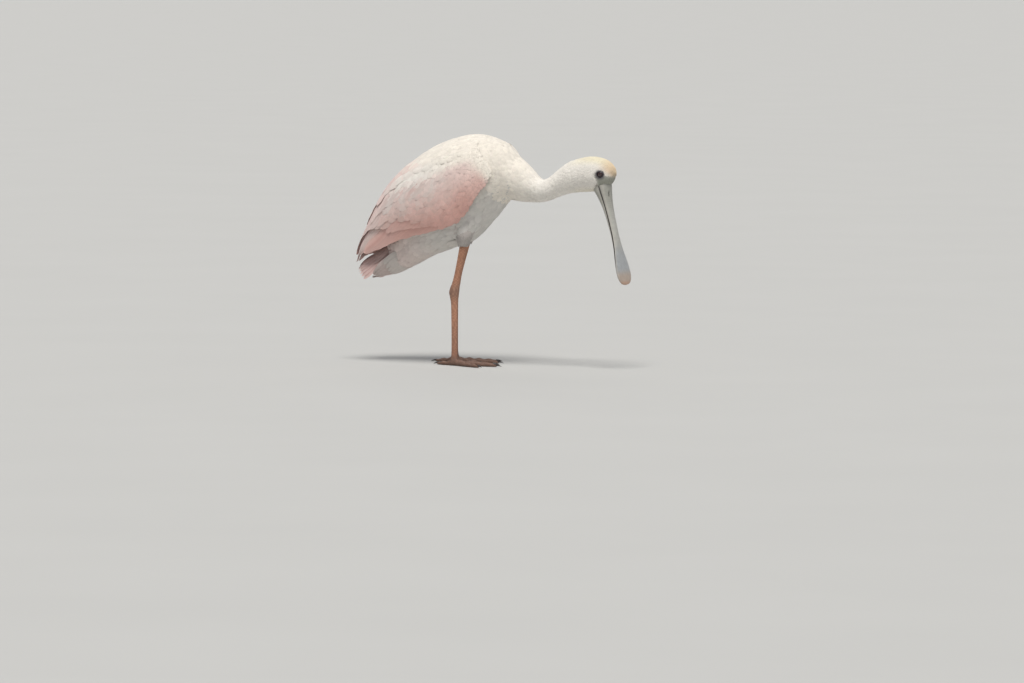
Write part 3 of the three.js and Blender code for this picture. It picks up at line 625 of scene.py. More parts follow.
@dataclass
class Feathers:
    """A batch of like feathers that lie along a form."""

    # A feather is even if its ways out agree this well and its rows keep their distance within these shares
    BEND: ClassVar[float] = 0.72
    PUSHED: ClassVar[float] = 0.25
    PULLED: ClassVar[float] = 2.1
    # How far a vane on a bare form may fall at its edges, in millimetres
    FALL: ClassVar[tuple[float, float]] = (0.2, 13)
    # How much a whole vane, one channel of its colour and one line along it vary by chance
    CHANCE: ClassVar[tuple[float, float, float]] = (0.014, 0.0015, 0.012)
    FRINGE: ClassVar[tuple[float, float, float]] = (0.97, 0.93, 0.9)

    surface: Surface
    root: tuple[Array, Array]
    tip: tuple[Array, Array]
    half: Array
    colour: Array
    outline: Outline = SOFT
    sink: float = 1.6
    layer: Array | float = 0.5
    tilt: Array | float = 0.0
    area: tuple[float, float, float, float] = WHOLE
    reach: tuple[float, float, float, float] = (0, 0, 1, 1)
    fringe: float = 0.1
    shaft: float = 0.0
    seed: int = 1

    def shafts(self) -> tuple[Array, Array]:
        """Places u and v along every shaft, a row for each feather."""
        along = np.array(self.outline.rows)[:, 0]
        u, v = (root[:, None] + (tip - root)[:, None] * along for root, tip in zip(self.root, self.tip))
        return u, v

    def each(self, value: Array | float) -> Array:
        """One value for every feather."""
        return np.broadcast_to(np.asarray(value, float), (len(self.half),))

    def even(self) -> "Feathers":
        """The batch without the feathers that would fold where a form has a crease.

        Returns:
            A batch of those that stay even.
        """
        along = np.array(self.outline.rows)[:, 0]
        point, out = self.surface.frame(*self.shafts())
        bend = np.sum(out[:, 1:] * out[:, :-1], axis=-1).min(axis=1)
        step = np.linalg.norm(np.diff(point, axis=1), axis=-1)
        share = step / np.maximum(step.sum(axis=1, keepdims=True), 0.01) / np.diff(along)
        kept = (bend > self.BEND) & (share.max(axis=1) < self.PULLED) & (share.min(axis=1) > self.PUSHED)
        ends = {word: tuple(place[kept] for place in getattr(self, word)) for word in ("root", "tip")}
        return replace(
            self, **ends, half=self.half[kept], colour=self.colour[kept],
            layer=self.each(self.layer)[kept], tilt=self.each(self.tilt)[kept],
        )

    def beside(self, u: Array, v: Array, point: Array, out: Array) -> Array:
        """How far the form falls away at the feather's edges, so that the vane hugs it.

        Args:
            u: Places along the form, a row for each feather.
            v: Places round it.
            point: The form's points there.
            out: The ways out there.

        Returns:
            The fall in millimetres at the vane's full half width.
        """
        _, round_ = self.surface.stretch(u, v)
        sweep = self.half[:, None] / round_
        falls = [np.sum((point - self.surface.point(u, v + way * sweep)) * out, axis=-1) for way in (-1, 1)]
        return (falls[0] + falls[1]) / 2

    def mesh_data(self) -> dict[str, Array]:
        """Points, faces, colours and unwraps of the whole batch.

        Returns:
            Arrays for the mesh: points, loops, totals, colours, and two unwraps for each loop.
        """
        rng = np.random.default_rng(self.seed)
        rows = np.array(self.outline.rows)
        columns = self.outline.columns
        count = len(self.half)
        along, wide, high = (rows[:, column][None, :] for column in range(3))
        u, v = self.shafts()
        point, out = self.surface.frame(u, v)
        fall = self.half[:, None] ** 2 / (2 * self.outline.curve) + 0 * u
        if not isinstance(self.surface, Draped):
            fall = np.clip(0.3 + self.beside(u, v, point, out), *self.FALL)
        ahead = unit(np.gradient(point, axis=1))
        aside = unit(np.cross(out, ahead))
        out = unit(np.cross(ahead, aside))
        layer, tilt = self.each(self.layer)[:, None], self.each(self.tilt)[:, None, None]
        ragged = 1 + self.outline.ragged * rng.uniform(-1, 1, (count, len(rows), columns))
        wide = wide[:, :, None]
        width = self.half[:, None, None] * wide * ragged
        share = np.linspace(-1, 1, columns)[None, None, :]
        rise = (layer + self.sink) * high - self.sink
        lift = rise[:, :, None] + self.outline.crown * (1 - share**2) * wide
        lift = lift - fall[:, :, None] * (wide * share) ** 2 + tilt * share
        points = point[:, :, None] + aside[:, :, None] * (width * share)[..., None]
        points = points + out[:, :, None] * lift[..., None]
        step = np.linalg.norm(np.diff(point, axis=1), axis=-1)
        length = np.concatenate([np.zeros((count, 1)), np.cumsum(step, axis=1)], axis=1)
        across = np.broadcast_to(width * share, points.shape[:3])
        down = np.broadcast_to(length[:, :, None], points.shape[:3])
        colours = self.shaded(along, share, rng)
        return self.flatten(points, colours, across, down, share, along)

    def shaded(self, along: Array, share: Array, rng: np.random.Generator) -> Array:
        """The colours of the vanes, darker at the root and paler at the fringe.

        Args:
            along: The rows, from 0 to 1.
            share: The columns, from -1 to 1.
            rng: The seeded source of chance.

        Returns:
            One colour for each point of the tops.
        """
        count, columns = len(self.half), self.outline.columns
        whole, channel, line = self.CHANCE
        tone = rng.normal(0, whole, (count, 1, 1, 1)) + rng.normal(0, channel, (count, 1, 1, 3))
        tone = tone + rng.normal(0, line, (count, 1, columns, 1))
        fade = smooth(0.55, 1.0, along)[:, :, None] * 0.6 + 0.5 * np.abs(share) ** 3
        base = self.colour[:, None, None, :] * (1 + tone)
        shade = 0.93 + 0.07 * smooth(0, 0.5, along)[:, :, None]
        fringe = (self.fringe * np.clip(fade, 0, 1))[..., None]
        colours = base * shade[..., None] * (1 - fringe) + np.array(self.FRINGE) * fringe
        shaft = self.shaft * (1 - np.abs(share)) ** 3
        return colours * (1 - shaft[..., None] * np.array([0.5, 1.0, 1.0]))

    def flatten(
        self, points: Array, colours: Array, across: Array, down: Array, share: Array, along: Array,
    ) -> dict[str, Array]:
        """Joins tops and undersides and repeats the faces for each feather.

        Args:
            points: Points of the tops.
            colours: Their colours.
            across: How far each lies from the shaft, in millimetres.
            down: How far each lies from the root, in millimetres.
            share: The columns, from -1 to 1.
            along: The rows, from 0 to 1.

        Returns:
            Arrays for the mesh.
        """
        count, rows, columns = points.shape[:3]
        doubled = self.outline.thick > 0
        low_u, low_v, high_u, high_v = self.reach
        x0, y0, x1, y1 = self.area
        middle_x = x0 + (x1 - x0) * np.clip((self.root[0] - low_u) / (high_u - low_u), 0, 1)
        middle_y = y0 + (y1 - y0) * np.clip((self.root[1] - low_v) / (high_v - low_v), 0, 1)
        bake = np.stack(np.broadcast_arrays(
            middle_x[:, None, None] + PATCH * share / 2,
            middle_y[:, None, None] + PATCH * (along[:, :, None] - 0.5),
        ), -1)
        vane = np.stack([across, down], -1) * 0.01
        stacks = [points, colours, bake, vane]
        flat = [stack.reshape(count, rows * columns, -1) for stack in stacks]
        if doubled:
            inner = [stack[:, :, 1:-1].reshape(count, rows * (columns - 2), -1) for stack in stacks]
            drop = np.cross(
                np.gradient(points, axis=1)[:, :, 1:-1].reshape(count, -1, 3),
                np.gradient(points, axis=2)[:, :, 1:-1].reshape(count, -1, 3),
            )
            inner[0] = inner[0] - unit(drop) * self.outline.thick
            inner[1] = inner[1] * 0.97
            flat = [np.concatenate(pair, axis=1) for pair in zip(flat, inner)]
        faces = vane_faces(rows, columns, doubled)
        template = np.concatenate([np.array(face) for face in faces])
        size = flat[0].shape[1]
        loops = (template[None, :] + size * np.arange(count)[:, None]).reshape(-1)
        totals = np.tile([len(face) for face in faces], count)
        return {
            "points": flat[0].reshape(-1, 3), "colours": flat[1].reshape(-1, 3),
            "loops": loops, "totals": totals,
            "bake": flat[2].reshape(-1, 2)[loops], "vane": flat[3].reshape(-1, 2)[loops],
        }


def make_mesh(name: str, batches: Sequence[dict[str, Array]], shift: Array) -> Object:
    """One mesh object from several batches of feathers.

    Args:
        name: The object's name.
        batches: What each batch of feathers gave.
        shift: The move from the source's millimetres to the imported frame.

    Returns:
        The new object, at the origin.
    """
    offsets = np.cumsum([0] + [len(batch["points"]) for batch in batches])
    points = np.concatenate([batch["points"] for batch in batches])
    loops = np.concatenate([batch["loops"] + offset for batch, offset in zip(batches, offsets)])
    totals = np.concatenate([batch["totals"] for batch in batches])
    mesh = bpy.data.meshes.new(name)
    mesh.vertices.add(len(points))
    mesh.vertices.foreach_set("co", ((points + shift) * MM).astype(np.float32).ravel())
    mesh.loops.add(len(loops))
    mesh.loops.foreach_set("vertex_index", loops.astype(np.int32))
    mesh.polygons.add(len(totals))
    starts = np.concatenate([[0], np.cumsum(totals)[:-1]])
    mesh.polygons.foreach_set("loop_start", starts.astype(np.int32))
    mesh.update(calc_edges=True)
    colours = linear(np.clip(np.concatenate([batch["colours"] for batch in batches]), 0, 1))
    paint(mesh, colours)
    for layer, key in (("OFBake", "bake"), ("Vane", "vane")):
        chart = np.concatenate([batch[key] for batch in batches])
        mesh.uv_layers.new(name=layer).data.foreach_set("uv", chart.astype(np.float32).ravel())
    mesh.validate(clean_customdata=False)
    piece = bpy.data.objects.new(name, mesh)
    bpy.context.scene.collection.objects.link(piece)
    smooth_by_angle(piece, 50)
    return piece


def paint(mesh: bpy.types.Mesh, colours: Array) -> None:
    """Keeps a colour for each point of a mesh as the attribute Marking.

    Args:
        mesh: The mesh.
        colours: One linear colour a point.
    """
    layer = mesh.color_attributes.new("Marking", "FLOAT_COLOR", "POINT")
    rgba = np.concatenate([colours, np.ones((len(colours), 1))], axis=1)
    layer.data.foreach_set("color", rgba.astype(np.float32).ravel())


def only(piece: Object) -> None:
    """Selects one object and makes it the active one."""
    bpy.ops.object.select_all(action="DESELECT")
    piece.select_set(True)
    bpy.context.view_layer.objects.active = piece


def smooth_by_angle(piece: Object, degrees: float) -> None:
    """Shades a piece smooth where its faces meet at less than an angle."""
    only(piece)
    bpy.ops.object.shade_smooth_by_angle(angle=math.radians(degrees))


@dataclass
class Field:
    """Rows of small feathers that cover a stretch of a form."""

    # How many places are probed across a row, and how far a feather may stray along and across
    PROBES: ClassVar[int] = 25
    STRAY: ClassVar[tuple[float, float]] = (0.2, 0.22)

    surface: Surface
    start: float
    stop: float
    across: Callable[[float], tuple[float, float]]
    length: Spread
    colour: Spread
    lie: Spread = lambda u, v: 0 * u
    way: int = 1
    slim: float = 0.36
    pitch: float = 0.4
    gap: float = 1.25
    sink: float = 1.6
    layer: float = 0.5
    settle: Optional[Spread] = None
    outline: Outline = SOFT
    area: tuple[float, float, float, float] = WHOLE
    fringe: float = 0.1
    seed: int = 1
    keep: Optional[Spread] = None

    def batch(self) -> dict[str, Array]:
        """Sets the feathers out in staggered rows and builds them.

        Returns:
            Arrays for the mesh.
        """
        rng = np.random.default_rng(self.seed)
        all_u, all_v = [], []
        place, odd = self.start, False
        while self.way * (self.stop - place) > 0:
            low, high = self.across(place)
            centre = np.array([place]), np.array([(low + high) / 2])
            long = float(self.length(*centre)[0])
            step, _ = self.surface.stretch(*centre)
            probe, level = np.linspace(low, high, self.PROBES), np.full(self.PROBES, place)
            _, round_ = self.surface.stretch(level, probe)
            sizes = self.length(level, probe) * self.slim * self.gap
            density = round_ / np.maximum(sizes, 0.2)
            total = np.concatenate([[0], np.cumsum((density[1:] + density[:-1]) / 2 * np.diff(probe))])
            count = max(int(total[-1]), 2)
            marks = (np.arange(count) + (0.75 if odd else 0.25)) / count * total[-1]
            marks = marks + rng.uniform(-self.STRAY[1], self.STRAY[1], count)
            all_v.append(np.interp(marks, total, probe))
            stray = rng.uniform(-self.STRAY[0], self.STRAY[0], count)
            all_u.append(np.full(count, place) + self.way * stray * long * self.pitch / step)
            place += self.way * max(long * self.pitch / float(step[0]), 0.01)
            odd = not odd
        u, v = np.concatenate(all_u), np.concatenate(all_v)
        if self.keep is not None:
            kept = self.keep(u, v)
            u, v = u[kept], v[kept]
        long = self.length(u, v) * rng.uniform(0.88, 1.14, len(u))
        turn = self.lie(u, v) + rng.normal(0, 0.07, len(u))
        step, round_ = self.surface.stretch(u, v)
        tip_u = u + self.way * np.cos(turn) * long / step
        tip_v = v + np.sin(turn) * long / round_
        layer = self.layer + rng.uniform(-0.2, 0.2, len(u))
        if self.settle is not None:
            layer = layer - self.settle(u, v)
        ends = [self.across(value) for value in (self.start, (self.start + self.stop) / 2, self.stop)]
        lows, highs = zip(*ends)
        near, far = sorted((self.start, self.stop))
        made = Feathers(
            surface=self.surface, root=(u, v), tip=(tip_u, tip_v), half=long * self.slim,
            outline=self.outline, colour=self.colour(u + self.way * 0.6 * long / step, v), sink=self.sink,
            layer=layer, tilt=rng.normal(0, 0.12, len(u)),
            area=self.area, reach=(near, min(lows), far, max(highs)),
            fringe=self.fringe, seed=self.seed + 50,
        )
        return (made.even() if isinstance(self.surface, Draped) else made).mesh_data()


@dataclass
class Tier:
    """A row of large feathers on the wing, from its first to its last one."""

    count: int
    root: tuple[tuple[float, float], tuple[float, float]]
    tip: tuple[tuple[float, float], tuple[float, float]]
    half: tuple[float, float]
    layer: tuple[float, float]
    tilt: float = 1.0
    sink: float = 8.0
    outline: Outline = FLIGHT
    shaft: float = 0.2

    def batch(self, side: int, number: int) -> dict[str, Array]:
        """Builds the row on one wing.

        Args:
            side: RIGHT or LEFT.
            number: The row's own number, which seeds its small differences.

        Returns:
            Arrays for the mesh.
        """
        rng = np.random.default_rng(900 + number)
        turn = np.linspace(0, 1, self.count)
        lines = [mix(np.array([first]), np.array([last]), turn) for first, last in (self.root, self.tip)]
        vary = rng.uniform(-1, 1, self.count)
        tip_u = lines[0][:, 0] + (lines[1][:, 0] - lines[0][:, 0]) * (1 + 0.03 * vary)
        tip_v = lines[1][:, 1] + 0.008 * rng.uniform(-1, 1, self.count)
        middle = (lines[0] + lines[1]) / 2
        return Feathers(
            surface=WingSurface(side), root=(lines[0][:, 0], lines[0][:, 1]), tip=(tip_u, tip_v),
            half=self.half[0] + (self.half[1] - self.half[0]) * turn, outline=self.outline, sink=self.sink,
            colour=Markings.wing(0.3 * middle[:, 0] + 0.7 * tip_u, 0.3 * middle[:, 1] + 0.7 * tip_v),
            layer=-(self.layer[0] + (self.layer[1] - self.layer[0]) * turn), tilt=-self.tilt * side,
            reach=(0, 0, 330, 1), shaft=self.shaft, seed=700 + number,
        ).mesh_data()


@dataclass
class Plumage:
    """The whole coat, piece by piece."""

    shift: Array
    skin: Object

    def pieces(self) -> list[Object]:
        """Makes every coat piece."""
        made = [self.body(), self.mantle(), self.neck(), self.head()]
        for side, word in SIDES:
            made += [self.flight(side, word), self.coverts(side, word), self.thigh(side, word)]
        made += [self.tail()]
        return made

    def body(self) -> Object:
        """Breast, belly, flanks and vent, one side after the other."""
        batches = []
        trunk = Draped(TrunkSurface(), self.skin, self.shift, 3.2)
        for side, _ in SIDES:
            x0, x1 = (0.01, 0.49) if side == RIGHT else (0.51, 0.99)
            batches.append(Field(
                surface=trunk, start=-26, stop=252, length=lambda u, v: 9 + 12 * smooth(-20, 80, u),
                across=lambda u, side=side: tuple(sorted((side * 0.9, side * 3.14))), keep=trunk.near,
                colour=Markings.trunk, slim=0.34, sink=2.2, layer=-0.6, area=(x0, 0.01, x1, 0.99),
                pitch=0.34, seed=11 + side, lie=lambda u, v: 0.12 * np.sin(2 * v), outline=SOFT,
                settle=self.under_wing,
            ).batch())
        return make_mesh("body_feathers", batches, self.shift)

    @staticmethod
    def under_wing(u: Array, v: Array) -> Array:
        """How far the flank draws in below the wing's edge, in millimetres."""
        edge = WingSurface(RIGHT).angle(np.asarray(u, float), 0 * u)
        return 1.8 * smooth(80, 125, u) * bell(np.abs(v) - edge, 0.02, 0.26)

    def mantle(self) -> Object:
        """Nape, mantle and lower back, between the wings.

        Returns:
            The piece.
        """
        trunk = Draped(TrunkSurface(), self.skin, self.shift, 3.4)
        nape = Field(
            surface=trunk, start=-23, stop=246, across=lambda u: (-1.1, 1.1),
            length=lambda u, v: 10 + 14 * smooth(-10, 90, u), colour=Markings.trunk, slim=0.32, sink=2.2,
            layer=0.1, pitch=0.32, seed=21, outline=LOOSE, keep=trunk.near,
            settle=lambda u, v: 0.8 * smooth(0.7, 1.1, np.abs(v)) + 1.5 * (1 - smooth(-16, 8, u)),
        )

        def reach(u: float) -> tuple[float, float]:
            """How far the saddle goes down both sides, narrow in front."""
            brow = math.radians(float(WING.at(np.array(max(u, 10)))[1])) + 0.3
            brow = brow * (0.25 + 0.75 * float(smooth(-7, 14, u)))
            return -brow, brow

        saddle = Field(
            surface=TrunkSurface(PLUMAGE), start=-7, stop=240, across=reach,
            length=lambda u, v: 12 + 20 * smooth(-10, 130, u), colour=Markings.trunk, slim=0.27, sink=3.2,
            layer=1.3, pitch=0.28, seed=25, outline=LOOSE,
            settle=lambda u, v: 0.6 * smooth(0.15, 0.45, np.abs(v)) + 2.8 * (1 - smooth(-5, 26, u)),
        )
        return make_mesh("mantle_feathers", [nape.batch(), saddle.batch()], self.shift)

    def neck(self) -> Object:
        """Neck feathers, which point back towards the body."""
        neck = Draped(NeckSurface(), self.skin, self.shift, 1.9)
        field_ = Field(
            surface=neck, start=7.4, stop=0.2, way=-1, across=lambda u: (-math.pi, math.pi),
            length=lambda u, v: 8 + 8 * (1 - smooth(0.4, 4, u)), colour=Markings.neck, slim=0.28, sink=1.6,
            layer=0.1, pitch=0.3, gap=1.2, seed=31, outline=SOFT, fringe=0.08, keep=neck.near,
            settle=lambda u, v: -0.9 * (1 - smooth(1.2, 3.2, u)),
        )
        return make_mesh("neck_feathers", [field_.batch()], self.shift)

    def head(self) -> Object:
        """Small feathers of the head, which leave the grey face bare."""
        field_ = Field(
            surface=NeckSurface(), start=12.0, stop=7.2, way=-1, across=lambda u: (-math.pi, math.pi),
            length=lambda u, v: 2.6 + 4.2 * (1 - smooth(7.2, 11.5, u)), colour=Markings.neck, slim=0.27,
            sink=0.7, layer=0.05, pitch=0.32, gap=1.1, seed=41, outline=HAIRY, fringe=0.06,
            keep=Face.feathered,
        )
        return make_mesh("head_feathers", [field_.batch()], self.shift)

    def flight(self, side: int, word: str) -> Object:
        """Primaries, secondaries and tertials of one wing.

        Args:
            side: RIGHT or LEFT.
            word: The side's word, for the name.

        Returns:
            The piece.
        """
        tiers = (
            (7, ((186, 0.1), (212, 0.5)), ((298, 0.1), (321, 0.6)), (8.5, 7.5), (6.6, 5.4), 0.9, 11.5),
            (14, ((64, 0.2), (190, 0.24)), ((130, 0.015), (292, 0.08)), (12, 10.5), (2.8, 4.0), 1.1, 8.0),
            (9, ((110, 0.36), (176, 0.92)), ((220, 0.2), (314, 0.84)), (15, 10.5), (2.4, 1.6), 0.8, 8.0),
        )
        batches = [Tier(*tier, shaft=0.1).batch(side, number) for number, tier in enumerate(tiers)]
        return make_mesh(f"flight_feathers_{word}", batches, self.shift)

    def coverts(self, side: int, word: str) -> Object:
        """Coverts and scapulars of one wing, small in front and long behind.

        Args:
            side: RIGHT or LEFT.
            word: The side's word, for the name.

        Returns:
            The piece.
        """
        wing = WingSurface(side)
        tiers = (
            (15, ((60, 0.24), (150, 0.36)), ((112, 0.03), (226, 0.17)), (9.5, 11), (1.4, 2.2), 0.6),
            (13, ((70, 0.4), (160, 0.5)), ((120, 0.2), (240, 0.34)), (9.5, 11), (0.8, 1.6), 0.5),
            (10, ((90, 0.6), (165, 0.7)), ((150, 0.4), (254, 0.54)), (10, 11), (0.3, 1.2), 0.5),
            (9, ((100, 0.84), (168, 0.99)), ((170, 0.66), (268, 0.97)), (11, 12), (-0.3, 0.8), 0.5),
        )
        batches = [
            Tier(*tier, sink=5, outline=LONG, shaft=0.04).batch(side, 20 + number)
            for number, tier in enumerate(tiers)
        ]
        lesser = Field(
            surface=wing, start=5, stop=196,
            across=lambda u: (0.01 + 0.3 * float(smooth(84, 196, np.array(u))), 0.98),
            length=lambda u, v: 8 + 16 * smooth(0, 100, u) + 8 * smooth(100, 180, u), colour=Markings.wing,
            slim=0.27, sink=3.0, layer=0.0, pitch=0.27, seed=61,
            lie=lambda u, v: -0.35 * (1 - smooth(150, 260, u)),
            settle=lambda u, v: 1.0 * smooth(120, 200, u),
        )
        scapular = Field(
            surface=wing, start=36, stop=205, across=lambda u: (0.7, 1.03),
            length=lambda u, v: 18 + 22 * smooth(30, 150, u), colour=Markings.wing, slim=0.24, sink=3.0,
            layer=0.7, pitch=0.25, seed=71, outline=LOOSE, lie=lambda u, v: -0.12 + 0 * u,
        )
        batches += [lesser.batch(), scapular.batch()]
        return make_mesh(f"wing_coverts_{word}", batches, self.shift)

    def thigh(self, side: int, word: str) -> Object:
        """Short feathers of one thigh.

        Args:
            side: RIGHT or LEFT.
            word: The side's word, for the name.

        Returns:
            The piece.
        """
        thigh = Draped(ThighSurface(side), self.skin, self.shift, 1.9)
        field_ = Field(
            surface=thigh, start=0, stop=3.7, across=lambda u: (-math.pi, math.pi),
            length=lambda u, v: 13 - 1.4 * u, colour=Markings.thigh, slim=0.3, sink=1.4, layer=0.0, pitch=0.3,
            seed=81 + side, keep=thigh.near,
        )
        return make_mesh(f"thigh_feathers_{word}", [field_.batch()], self.shift)

    def tail(self) -> Object:
        """Tail feathers with the coverts over and under them."""
        fans = (
            TailFan(12, 0.88, 246, 325, 13, 8.2, -0.4, False, FLIGHT, 0.01),
            TailFan(9, 0.7, 236, 290, 9, 8, 1.2, False, LONG, 0.26),
            TailFan(11, 0.95, 236, 308, 15, 8, 0.2, True, LONG, 0.51),
            TailFan(11, 0.92, 232, 276, 8, 8, 1.0, True, LONG, 0.76),
        )
        return make_mesh("tail_feathers", [fan.batch() for fan in fans], self.shift)


@dataclass
class TailFan:
    """One fan of feathers on the tail, its middle ones outermost."""

    count: int
    spread: float
    root: float
    tip: float
    shorten: float
    half: float
    layer: float
    under: bool
    outline: Outline
    patch_from: float

    def batch(self) -> dict[str, Array]:
        """Builds the fan.

        Returns:
            Arrays for the mesh.
        """
        share = np.linspace(-1, 1, self.count) * self.spread
        tip = self.tip - self.shorten * share**2
        marks = Markings.under if self.under else Markings.tail
        return Feathers(
            surface=TailSurface(self.under), root=(np.full(self.count, self.root), share * 0.9),
            tip=(tip, share), half=np.full(self.count, self.half), outline=self.outline, sink=5,
            colour=marks(tip, share), layer=self.layer - 0.9 * np.abs(share),
            tilt=np.sign(share) * (0.9 if self.under else -0.9),
            area=(self.patch_from, 0.01, self.patch_from + 0.23, 0.99), reach=(230, -1, 330, 1),
            shaft=0.15 if self.outline is FLIGHT else 0.0, seed=int(self.root + self.tip),
        ).mesh_data()


class Face:
    """The bare grey skin round the eye and to the bill."""

    @staticmethod
    def bareness(point: Array) -> Array:
        """How bare the skin is at points of the head, from 0 to 1.

        Args:
            point: Points in millimetres.

        Returns:
            One share a point.
        """
        x, z = point[..., 0], point[..., 2]
        across = (x - EYE_PLACE[0]) / 9.5
        level = (z - EYE_PLACE[1] + 1.5) / 9.5
        ring = np.sqrt(across**2 + level**2)
        lores = smooth(267, 275, x) * (1 - smooth(313, 321, z + 0.25 * (x - 280)))
        chin = (1 - smooth(298, 306, z)) * smooth(262, 270, x)
        ragged = 0.12 * np.sin(x * 2.3 + z * 1.1) * np.sin(z * 2.9 - x * 0.7)
        return np.clip(np.maximum.reduce([1 - smooth(0.7, 1.15, ring + ragged), lores, chin]), 0, 1)

    @staticmethod
    def feathered(u: Array, v: Array) -> Array:
        """Whether a small feather may grow at a place of the head."""
        border = 0.2 + 0.5 * scatter(u * 269.5 + v * 183.3, 24634.6345)
        return Face.bareness(NeckSurface().point(u, v)) < border


def named(piece: Object, name: str) -> Object:
    """Names an object and its mesh."""
    piece.name = piece.data.name = name
    return piece


def raw_points(piece: Object) -> Array:
    """The points of a mesh as they are."""
    flat = np.zeros(len(piece.data.vertices) * 3, np.float32)
    piece.data.vertices.foreach_get("co", flat)
    return flat.reshape(-1, 3)


def wrapped(
    name: str, around: int, along: int, place: Spread, shift: Array, uv: bool = True,
) -> Object:
    """A closed tube: a grid that is wrapped round, seamed and capped at both ends.

    Args:
        name: The object's name.
        around: Faces round it.
        along: Faces along it.
        place: Gives points in millimetres for shares round and along, both from 0 to 1.
        shift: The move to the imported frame.
        uv: Whether it keeps its own unwrap, for its baked colours.

    Returns:
        The new object, at the origin.
    """
    bpy.ops.object.select_all(action="DESELECT")
    bpy.ops.mesh.primitive_grid_add(x_subdivisions=around, y_subdivisions=along, size=2, calc_uvs=uv)
    piece = named(bpy.context.object, name)
    flat = raw_points(piece)
    move_points(piece, place((flat[:, 0] + 1) / 2, (flat[:, 1] + 1) / 2), shift)
    bpy.ops.object.mode_set(mode="EDIT")
    bpy.ops.mesh.select_all(action="SELECT")
    bpy.ops.mesh.remove_doubles(threshold=SEAM)
    bpy.ops.mesh.select_all(action="DESELECT")
    bpy.ops.mesh.select_mode(type="EDGE")
    bpy.ops.mesh.select_non_manifold(extend=False, use_wire=False, use_boundary=True, use_multi_face=False,
                                     use_non_contiguous=False, use_verts=False)
    bpy.ops.mesh.fill_holes(sides=0)
    bpy.ops.mesh.select_mode(type="FACE")
    bpy.ops.mesh.select_all(action="SELECT")
    bpy.ops.mesh.normals_make_consistent(inside=False)
    bpy.ops.object.mode_set(mode="OBJECT")
    return piece


def joined(name: str, pieces: Sequence[Object]) -> Object:
    """Joins pieces into the first one and names it."""
    bpy.ops.object.select_all(action="DESELECT")
    for piece in pieces:
        piece.select_set(True)
    bpy.context.view_layer.objects.active = pieces[0]
    bpy.ops.object.join()
    return named(pieces[0], name)


def softened(piece: Object, rounds: int, group: str = "") -> None:
    """Smooths a piece, or a group of its points.

    Args:
        piece: The object.
        rounds: How often.
        group: The name of a vertex group that weighs it.
    """
    only(piece)
    soften = piece.modifiers.new("Soften", "SMOOTH")
    soften.factor = 0.5
    soften.iterations = rounds
    soften.vertex_group = group
    bpy.ops.object.modifier_apply(modifier="Soften")


def fused(piece: Object, voxel: float, rounds: int) -> Object:
    """Makes joined forms one even skin.

    Args:
        piece: The object.
        voxel: Size of a cell, in millimetres.
        rounds: How often the skin is smoothed.

    Returns:
        The same object.
    """
    only(piece)
    remesh = piece.modifiers.new("Fuse", "REMESH")
    remesh.mode = "VOXEL"
    remesh.voxel_size = voxel * MM
    bpy.ops.object.modifier_apply(modifier="Fuse")
    softened(piece, rounds)
    return piece


def points_of(piece: Object, shift: Array) -> Array:
    """The points of a mesh back in millimetres of the source."""
    return raw_points(piece) / MM - shift


def move_points(piece: Object, points: Array, shift: Array) -> None:
    """Puts the points of a mesh at places in millimetres of the source."""
    piece.data.vertices.foreach_set("co", ((points + shift) * MM).astype(np.float32).ravel())
    piece.data.update()


def on_all_faces(piece: Object, step: Callable[..., object], **options: float) -> None:
    """Runs one step of edit mode on the whole of a piece.

    Args:
        piece: The object.
        step: The step.
        options: What the step takes.
    """
    only(piece)
    bpy.ops.object.mode_set(mode="EDIT")
    bpy.ops.mesh.select_all(action="SELECT")
    step(**options)
    bpy.ops.object.mode_set(mode="OBJECT")


def unwrap(piece: Object) -> None:
    """Gives a piece an unwrap of its own for its baked colours."""
    on_all_faces(piece, bpy.ops.uv.smart_project, angle_limit=math.radians(66), island_margin=PATCH)
    piece.data.uv_layers[0].name = "OFBake"


def coloured(piece: Object, colours: Array, degrees: float) -> Object:
    """Gives a piece with an unwrap its colours and its shading.

    Args:
        piece: The object.
        colours: One linear colour a point.
        degrees: Up to which angle between faces it is shaded smooth.

    Returns:
        The same object.
    """
    piece.data.uv_layers[0].name = "OFBake"
    paint(piece.data, colours)
    smooth_by_angle(piece, degrees)
    return piece


